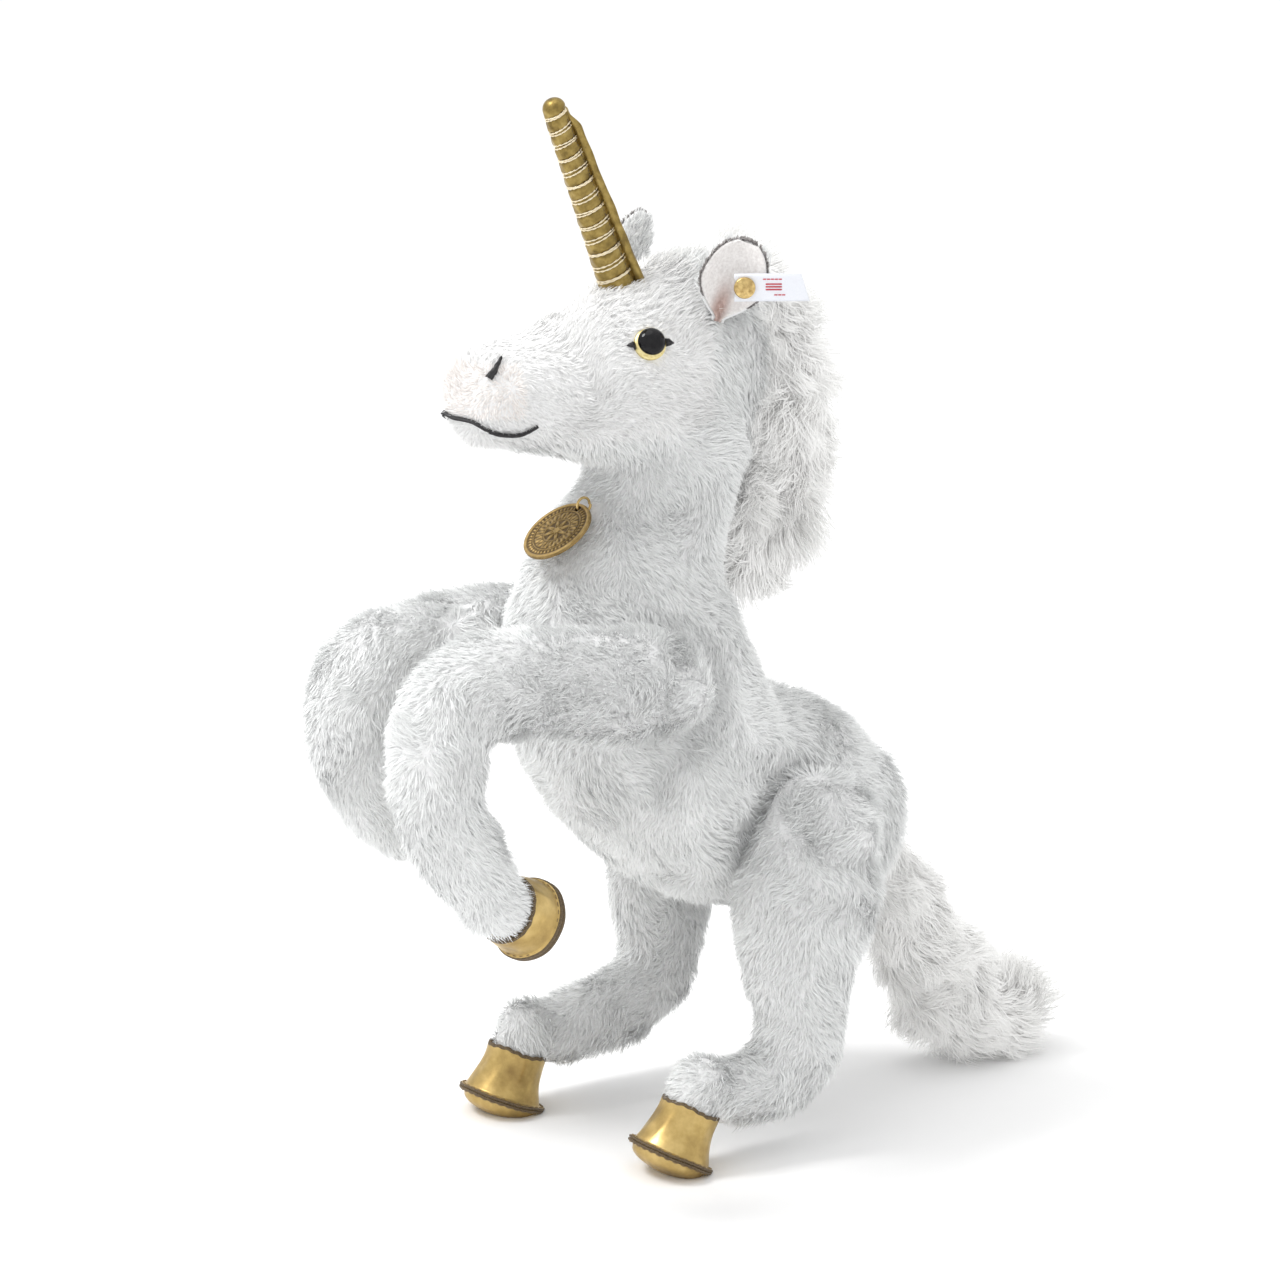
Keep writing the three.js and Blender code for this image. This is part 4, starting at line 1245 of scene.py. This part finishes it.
# -------------------------------------------------------------------------- eyes
def make_eye(name, side):
    """A black dome up and back on its gold disc, with black stitches at both corners."""
    mirror = np.array([side, 1, 1])
    at, way = EYE_AT * mirror, EYE_NORMAL * mirror
    disc = [
        [0, -2.0], [4.6, -2.0], [5.15, -0.6], [5.3, 0.3], [5.15, 0.8], [4.7, 1.1], [3.3, 1.5],
        [0, 1.6],
    ]
    dome = [[0, 0.4], [4.5, 0.4]]
    for a in np.radians([4, 14, 25, 36, 47, 58, 69, 80]):
        dome.append([4.55 * math.cos(a), 1.1 + 3.0 * math.sin(a)])
    dome.append([0, 4.1])
    up = unit(Z - way * way[2])
    back = unit(np.array([0, 1.0, 0]) - way * way[1])
    dome_at = at + up * 0.5 + back * 0.45
    piece(
        f"{name}_eye_ring", lathe(disc, 64, at, way), "torso", EYE_GOLD,
        [f"{name}_eye_disc"],
    )
    piece(
        f"{name}_eye_dome", lathe(dome, 64, dome_at, way), "torso", EYE_BLACK,
        [f"{name}_eye_glass"],
    )
    across = np.array([0, 1.0, -0.12])
    across = unit(across - way * (across @ way))
    rise = np.cross(way, across)
    rng = np.random.default_rng(61)
    shapes = []
    for end in (-1, 1):
        for i in range(7):
            drop = (i - 3) * 0.42
            reach = 7.4 + 0.5 * rng.random() - abs(drop) * 0.8
            start = at + across * end * 5.1 + rise * drop * 0.9 + way * 0.4
            stop = at + across * end * reach + rise * (drop * 0.25)
            hit, n = on_torso(stop, -way)
            middle_at = (start + hit) / 2 + n * 1.9
            shapes.append(cord_of([start, middle_at, hit + n * 1.1], 0.34, 6))
    piece(f"{name}_eye_corners", merged(shapes), "torso", BLACK_THREAD)


for name, side in (("left", 1), ("right", -1)):
    make_eye(name, side)


# ------------------------------------------------------------ mouth and nostrils
LINE_STITCHES = 60  # along each stitched line


def stitched_line(stations, lift, radius, centre, seed):
    """Satin stitches side by side along a line on the torso's skin. The line is brought
    onto the skin along ways towards a centre."""
    rng = np.random.default_rng(seed)
    shares = np.linspace(0, 1, LINE_STITCHES)
    path = curve(stations, shares)
    seats = [on_torso(p, way) for p, way in zip(path, unit(np.array(centre) - path))]
    base = np.array([hit + n * lift for hit, n in seats])
    normals = np.array([n for _, n in seats])
    radius = np.interp(shares, np.linspace(0, 1, len(radius)), radius)
    along = unit(np.gradient(base, axis=0))
    across = np.cross(normals, along)
    shapes = [cord_of(base, radius * 0.8, 8)]
    for i, r in enumerate(radius):
        for _ in range(2):
            slip = along[i] * rng.normal(0, 0.25)
            a = base[i] - across[i] * r * 1.05 + slip - normals[i] * 0.5
            b = base[i] + normals[i] * r * 0.85 + slip
            c = base[i] + across[i] * r * 1.05 + slip - normals[i] * 0.5
            shapes.append(cord_of([a, b, c], 0.2, 5))
    return shapes


MOUTH = [
    [0, -57, 250.3], [5, -56.5, 250.6], [9.5, -53.5, 250.4], [13, -49, 247.3],
    [15, -44.5, 245.3], [15.8, -40, 245.2], [16, -35.2, 248.8],
]
NOSTRIL = [[13, -47.2, 274], [14, -49.2, 271.5], [14.5, -51.2, 268.4], [14.2, -52.7, 266.0]]
RIGHT_NOSTRIL_SHIFT = [3.2, 2.5, -5.5]  # keeps it out of the outline seen from the left


def make_face():
    mouth, nostrils = [], []
    for side in (1, -1):
        mirror = [side, 1, 1]
        widths = [0.62, 0.62, 0.62, 0.6, 0.5]
        mouth += stitched_line(np.array(MOUTH) * mirror, 1.5, widths, [0, -38.0, 255.0], 70)
        line = np.array(NOSTRIL) + (RIGHT_NOSTRIL_SHIFT if side < 0 else [0, 0, 0])
        widths = [0.35, 0.5, 0.85, 1.15]
        nostrils += stitched_line(line * mirror, 1.3, widths, [0, -36.0, 260.0], 71)
    piece("mouth_stitching", merged(mouth), "torso", BLACK_THREAD)
    piece("nostril_stitching", merged(nostrils), "torso", BLACK_THREAD)


make_face()


# -------------------------------------------------------------------------- ears
EAR_AT = np.array([24.5, 30.0, 279.0])
EAR_HEIGHT, EAR_HALF = 25.0, 10.5
EAR_CURL, REAR_CURL = 1.1, 0.385  # depth of the front and rear half's curl, as shares


def ear_axes(side):
    """Up the ear, out of its open side, and across it."""
    up = unit([side * 0.25, 0.25, 0.93])
    facing = np.array([side * 0.8, -0.6, 0.1])
    facing = unit(facing - up * (facing @ up))
    return up, facing, np.cross(up, facing)


def ear_point(side, u, v):
    """A place on the ear's middle surface: u across it and v up it, as shares."""
    up, facing, across = ear_axes(side)
    u, v = np.broadcast_arrays(np.asarray(u, float), np.asarray(v, float))
    top = np.clip((v - 0.42) / 0.6, 0, 1)
    foot = 0.14 + 0.86 * np.sin(math.pi / 2 * np.clip((v + 0.06) / 0.55, 0, 1))
    half = EAR_HALF * foot * np.sqrt(1 - top**2.2)
    share = 2 * u - 1
    curl = (1 - 0.75 * v) * np.where(share * side < 0, EAR_CURL, REAR_CURL)
    wave = 0.35 * np.sin(7 * v + 2 * share) * np.abs(share)
    return (
        EAR_AT * [side, 1, 1] + up * (EAR_HEIGHT * v)[..., None] + across * (half * share)[..., None]
        + facing * (half * curl * share**2 - 1 + wave)[..., None]
    )


def ear_normal(side, u, v):
    e = 1e-3
    du = ear_point(side, u + e, v) - ear_point(side, u - e, v)
    dv = ear_point(side, u, v + e) - ear_point(side, u, v - e)
    return unit(np.cross(du, dv))


def ear_layer(side, a, b, top=1.0):
    """A layer with rounded edges between two distances from the ear's middle surface,
    measured towards its open side."""
    faces_open = ear_normal(side, 0.5, 0.5) @ ear_axes(side)[1] > 0
    low, high = (a, b) if faces_open else (-b, -a)
    mid, half = (low + high) / 2, (high - low) / 2
    u = np.linspace(0, 1, 30)
    thin = np.sqrt(np.clip(1 - (2 * u - 1) ** 16, 0.15, 1))[:, None]
    rings = []
    for v in np.linspace(-0.12, top, 26):
        p, n = ear_point(side, u, v), ear_normal(side, u, v)
        rings.append(np.vstack([p + n * (mid + half * thin), (p + n * (mid - half * thin))[::-1]]))
    return capped(rings)


def painted(ob, name, values):
    """Gives an object's points a value that its material reads."""
    layer = ob.data.attributes.new(name, "FLOAT", "POINT")
    layer.data.foreach_set("value", np.asarray(values, np.float32))


def make_ear(name, side, seed):
    rng = np.random.default_rng(seed)
    base = EAR_AT * [side, 1, 1]
    up, facing, across = ear_axes(side)
    shell = ear_layer(side, -1.0, 0.05)
    back = piece(f"{name}_ear_shell", shell, "torso", SKIN, [f"{name}_ear_back"])
    felt = ear_layer(side, 0.1, 1.2, 0.985)
    inner = piece(f"{name}_ear_felt", felt, "torso", LINING, [f"{name}_ear_lining"])
    p = points_of(inner)
    v = ((p - base) @ up) / EAR_HEIGHT
    s = ((p - base) @ across) * side / EAR_HALF
    painted(inner, "fold", smooth(0.6, 0.05, v) * smooth(0.42, 0.05, np.abs(s + 0.1)))
    # fur on the back
    root, normal = roots_on(back, 1.5, rng)
    v = ((root - base) @ up) / EAR_HEIGHT
    out = (normal @ facing < -0.15) & (v > -0.05) & (v < 0.97)
    strands(
        f"{name}_ear_fur", root[out], normal[out], np.tile(up, (out.sum(), 1)), FUR, seed + 1,
        length=3.6, lean=0.95, width=0.42, wave=0.6,
    )
    # dark fuzz along the rim, where the two layers are sewn: up one side, over and down
    t = np.linspace(0, 1, 900)
    u = np.where(t < 0.4, 0.0, np.where(t > 0.6, 1.0, (t - 0.4) / 0.2))
    v = np.where(t < 0.4, t / 0.4, np.where(t > 0.6, (1 - t) / 0.4, 1.0))
    v = 0.18 + 0.82 * v
    rim = ear_point(side, u, v) + rng.normal(0, 0.16, (len(t), 3))
    outside = unit(rim - ear_point(side, np.full(len(t), 0.5), v * 0.6))
    flow = np.tile(up, (len(t), 1)) - 0.4 * outside
    strands(
        f"{name}_ear_rim", rim, unit(outside + 0.5 * facing), flow, RIM_FUR, seed + 2,
        length=1.25, lean=0.9, width=0.3, wave=0.9, clump=5, slot="felt", jitter=0.7,
    )


make_ear("left", 1, 400)
make_ear("right", -1, 410)


# --------------------------------------------------------- ear button and label
LABEL_WAY = unit([0.46, 0.89, 0.0])
LABEL_OUT = np.cross(LABEL_WAY, Z)
LABEL_LENGTH, LABEL_WIDTH, LABEL_THICK = 23.0, 9.0, 0.4
LABEL_MID = box_middle("ear_label") - SHIFT
SEAT = ear_point(1, 0.64, 0.45)  # where the button goes through the left ear


def on_label(s, q, lift):
    """A place at shares s along the label and q across it, lifted off its middle layer.
    The label sags and twists a little, and its loose end is cut at a slant."""
    x = (s - 0.5) * LABEL_LENGTH - 2.8 * smooth(0.9, 1.0, s) * q
    sag = 0.5 * math.sin(math.pi * s * 1.3) * s + 0.4 * s * q - 0.15 * math.cos(2 * math.pi * q)
    return LABEL_MID + LABEL_WAY * x + Z * (q * LABEL_WIDTH - 0.5 * s * s) + LABEL_OUT * (sag + lift)


def make_label():
    across = np.linspace(-0.5, 0.5, 10)
    rings = []
    for s in np.linspace(0, 1, 46):
        outer = [on_label(s, q, LABEL_THICK / 2) for q in across]
        inner = [on_label(s, q, -LABEL_THICK / 2) for q in across]
        rings.append(outer + inner[::-1])
    piece("label_ribbon", capped(rings), "torso", RIBBON, ["ear_label"])


def make_bars():
    """Woven bars instead of print: from and to along the label, place across it, width."""
    bars = [(0.40 + 0.055 * k, 0.44 + 0.055 * k, 0.30, 0.42) for k in range(5)]
    bars += [(0.44, 0.66, q, 0.5) for q in (0.12, 0.02, -0.08)]
    bars += [(0.56 + 0.055 * k, 0.60 + 0.055 * k, -0.27, 0.42) for k in range(3)]
    shapes = []
    for start, stop, q, wide in bars:
        path = [on_label(s, q, LABEL_THICK / 2 + 0.02) for s in np.linspace(start, stop, 6)]
        shapes.append(cord_of(path, wide / 2, 6))
    piece("label_weave", merged(shapes), "torso", RIBBON_RED)


def make_button():
    low = (LABEL_MID - SEAT) @ LABEL_OUT + 0.3  # the cap's underside, just off the label
    cap = [
        [1.0, -0.1], [2.6, -0.1], [3.2, 0.15], [3.5, 0.6], [3.42, 1.05], [3.05, 1.35],
        [2.75, 1.3], [2.5, 1.38], [1.6, 1.62], [0.8, 1.74], [0.3, 1.78], [0, 1.78],
    ]
    profile = [[0, -3.0], [1.0, -3.0]] + [[r, low + h] for r, h in cap]
    stud = lathe(profile, 48, SEAT, LABEL_OUT)
    piece("button_stud", stud, "torso", BRASS, ["ear_button"])


make_label()
make_bars()
make_button()

# ------------------------------------------------------------------------- medal
MEDAL_RADIUS, MEDAL_THICK = 12.3, 1.5
MEDAL_SIDES = 240
HOLE_RADIUS = 1.1
HOLE_IN = 2.2  # from the medal's edge to the middle of its hole
RING_RADIUS, RING_WIRE = 2.4, 0.45
UPHILL = np.array([0.0, math.cos(TILT), math.sin(TILT)])


def medal_relief(r, a):
    """The medal's pattern, from 0 to 1: a rosette, rays, scrolls and a beaded border."""
    petal = np.clip(1 - np.abs(r / (2.6 + 1.3 * np.cos(8 * a)) - 0.9) * 1.6, 0, 1) * (r < 4.6)
    centre = smooth(1.4, 1.0, r)
    ray = (0.5 + 0.5 * np.cos(30 * a)) * smooth(5.0, 5.5, r) * smooth(8.4, 7.9, r)
    scroll = (0.5 + 0.5 * np.cos(15 * a + 2.2 * r)) * smooth(5.0, 5.6, r) * smooth(8.4, 7.8, r)
    bead = np.clip(0.5 + 0.8 * np.cos(44 * a), 0, 1) * np.exp(-(((r - 9.9) / 0.62) ** 2))
    lines = np.exp(-(((r - 4.85) / 0.17) ** 2)) + np.exp(-(((r - 8.75) / 0.17) ** 2))
    rim = smooth(10.95, 11.25, r)
    return np.clip(petal + centre + 0.6 * ray + 0.5 * scroll + bead + lines + rim, 0, 1)


def medal_disc():
    """The medal with its relief on both faces. Returns its shape and each point's relief."""
    turn = np.linspace(0, 2 * math.pi, MEDAL_SIDES, endpoint=False)
    side, other = frame_of(MEDAL_FACE)
    half = MEDAL_THICK / 2
    radii = np.linspace(0.4, MEDAL_RADIUS - 0.35, 52)
    rows = [(r, medal_relief(r, turn)) for r in radii]
    edge = [(MEDAL_RADIUS - 0.08, half - 0.12, 0.8), (MEDAL_RADIUS, half - 0.35, 0.5)]
    rings = [(r, -(half - 0.3 + 0.28 * z), z) for r, z in rows]
    rings += [(r, -h, mark) for r, h, mark in edge] + edge[::-1]
    rings += [(r, half - 0.3 + 0.28 * z, z) for r, z in rows[::-1]]
    points, marks = [], []
    for r, h, mark in rings:
        high = np.broadcast_to(h, MEDAL_SIDES)[:, None] * MEDAL_FACE
        points.append(MEDAL_AT + r * around(turn, side, other) + high)
        marks.append(np.broadcast_to(mark, MEDAL_SIDES))
    return capped(points), np.concatenate(marks + [[1.0, 1.0]])


def drill(ob, shape):
    """Cuts a shape out of an object."""
    cutter = linked("cutter", mesh_of("cutter", *shape))
    mod = ob.modifiers.new("hole", "BOOLEAN")
    mod.operation = "DIFFERENCE"
    mod.solver = "EXACT"
    mod.object = cutter
    bake_modifiers(ob)
    bpy.data.objects.remove(cutter)


def make_medal():
    shape, marks = medal_disc()
    ob = piece("medal_disc", shape, "medal", MEDAL_BRASS, ["medal"])
    painted(ob, "relief", marks)
    hole = [[0, -3], [HOLE_RADIUS, -3], [HOLE_RADIUS, 3], [0, 3]]
    hole_at = MEDAL_AT + UPHILL * (MEDAL_RADIUS - HOLE_IN)
    drill(ob, lathe(hole, 24, hole_at, MEDAL_FACE))
    ring_at = MEDAL_AT + UPHILL * (MEDAL_RADIUS - HOLE_IN + RING_RADIUS)
    loop = ring_at + RING_RADIUS * around(
        np.linspace(0, 2 * math.pi, 61), np.array([0, 1.0, 0]), Z
    )
    loop = loop + np.linspace(-0.3, 0.3, 61)[:, None] * X  # its ends lie side by side
    piece("medal_loop", cord_of(loop, RING_WIRE, 12), "torso", BRASS, ["medal_ring"])


make_medal()

# ------------------------------------------------------------------ mane and tail
LOCK_STEPS = 60
LOCKS = dict(width=0.34, pull=0.5)


def core_of(name, stations):
    """The core that long fur stands on, in place of a CAD node."""
    shape = tube(middle(stations), domes=DOMES[name], grow=-ROOM[name])
    core = remeshed(f"{name}_core", shape, voxel=2.4, rounds=2)
    p = points_of(core)
    p[:, 2] = np.maximum(p[:, 2], SKIN_LOWEST)
    set_points(core, p)
    skinned(core, "torso", [name])
    return core


def make_mane():
    core = core_of("mane", MANE)
    root, normal = roots_on(core, FUR_DENSITY, np.random.default_rng(500))
    line, ways, near = along_line(root, np.array(middle(MANE)), LOCK_STEPS)
    # none grows from the core's front, which is inside the neck
    back = root[:, 1] + 0.35 * root[:, 2] > line[near, 1] + 0.35 * line[near, 2] - 13
    root, normal, near = root[back], normal[back], near[back]
    share = near / (LOCK_STEPS - 1)
    length = 12.5 + 2.4 * waves(root, 22, 504)
    length = length + 3 * smooth(0.2, 0.5, share) - 3 * smooth(0.25, 0.0, share)
    strands(
        "mane_locks", root, normal, ways[near] + 0.7 * eddies(root, (26, 30, 26), 501), MANE_FUR,
        506, length=length, lean=0.98 + 0.22 * waves(root, 24, 505), levels=6, wave=1.3,
        clump=30, jitter=0.4, **LOCKS,
    )


def make_tail():
    core = core_of("tail", TAIL)
    root, normal = roots_on(core, FUR_DENSITY, np.random.default_rng(520))
    _, ways, near = along_line(root, np.array(middle(TAIL)), LOCK_STEPS)
    share = near / (LOCK_STEPS - 1)
    flow = ways[near] + 0.5 * eddies(root, (24, 24, 24), 521)
    flow = flow + smooth(0.8, 1.0, share)[:, None] * np.array([0, 0.2, 0.9])
    length = 10.5 + 1.8 * waves(root, 20, 524) + 2.0 * smooth(0.3, 0.8, share)
    strands(
        "tail_locks", root, normal, flow, MANE_FUR, 526, length=length,
        lean=1.06 + 0.18 * waves(root, 22, 525), levels=5, wave=1.1, turns=0.9, clump=28,
        **LOCKS,
    )


make_mane()
make_tail()

# ------------------------------------------------- CAD nodes that are still shown
LOOKS = {"_disc": BOARD, "_washer": STEEL, "_pin": STEEL, "_shank": STEEL}
for name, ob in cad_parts.items():
    for ending, look in LOOKS.items():
        if name.endswith(ending) and not ob.hide_render:
            for s in ob.material_slots:
                s.material = look

# ---------------------------------------------------------- floor, lights, camera
TARGET = (Vector((-18.8, 28.23, 161.6)) + Vector(SHIFT)) * MM
CAMERA = (Vector((1666.7, -1108.67, 687.4)) + Vector(SHIFT)) * MM
RIGHT = Vector((0.559, 0.829, 0.0))
UP = Vector((-0.207, 0.140, 0.968))
BACK = Vector((0.803, -0.541, 0.250))
FLOOR_HALF = 12.0
LENS, SENSOR = 178.98, 36.0  # millimetres
KEY_POWER, TOP_POWER = 15, 4  # watts
ROOM_LIGHT = 1.03


def floor():
    look = Look("floor_paper", Roughness=0.9, Specular_IOR_Level=0.1)
    look.patches("Base Color", grey(0.93), grey(0.945), 60, 3)
    mesh = bpy.data.meshes.new("floor")
    r = FLOOR_HALF
    mesh.from_pydata([(-r, -r, 0), (r, -r, 0), (r, r, 0), (-r, r, 0)], [], [(0, 1, 2, 3)])
    ob = linked("floor", mesh)
    ob.data.materials.append(look.material)


def area(name, place, size, energy):
    """A soft round light that looks at the target."""
    data = bpy.data.lights.new(name, "AREA")
    data.shape = "DISK"
    data.size = size
    data.energy = energy
    ob = linked(name, data)
    ob.location = place
    ob.rotation_euler = (TARGET - place).to_track_quat("-Z", "Y").to_euler()


def studio():
    area("key", TARGET - RIGHT * 0.9 + UP * 1.3 + BACK * 0.5, 0.6, KEY_POWER)
    area("top", TARGET + Vector((0, 0, 1.6)) - RIGHT * 0.2, 1.2, TOP_POWER)
    world = bpy.data.worlds.new("studio")
    bpy.context.scene.world = world
    world.use_nodes = True
    world.node_tree.nodes["Background"].inputs["Color"].default_value = (1, 1, 1, 1)
    world.node_tree.nodes["Background"].inputs["Strength"].default_value = ROOM_LIGHT
    bpy.context.scene.view_settings.view_transform = "Standard"


def place_camera():
    lens = bpy.data.cameras.new("camera")
    lens.lens = LENS
    lens.sensor_width = SENSOR
    lens.clip_end = 50
    camera = linked("camera", lens)
    camera.matrix_world = Matrix((
        (RIGHT.x, UP.x, BACK.x, CAMERA.x), (RIGHT.y, UP.y, BACK.y, CAMERA.y),
        (RIGHT.z, UP.z, BACK.z, CAMERA.z), (0, 0, 0, 1),
    ))
    bpy.context.scene.camera = camera


floor()
studio()
place_camera()
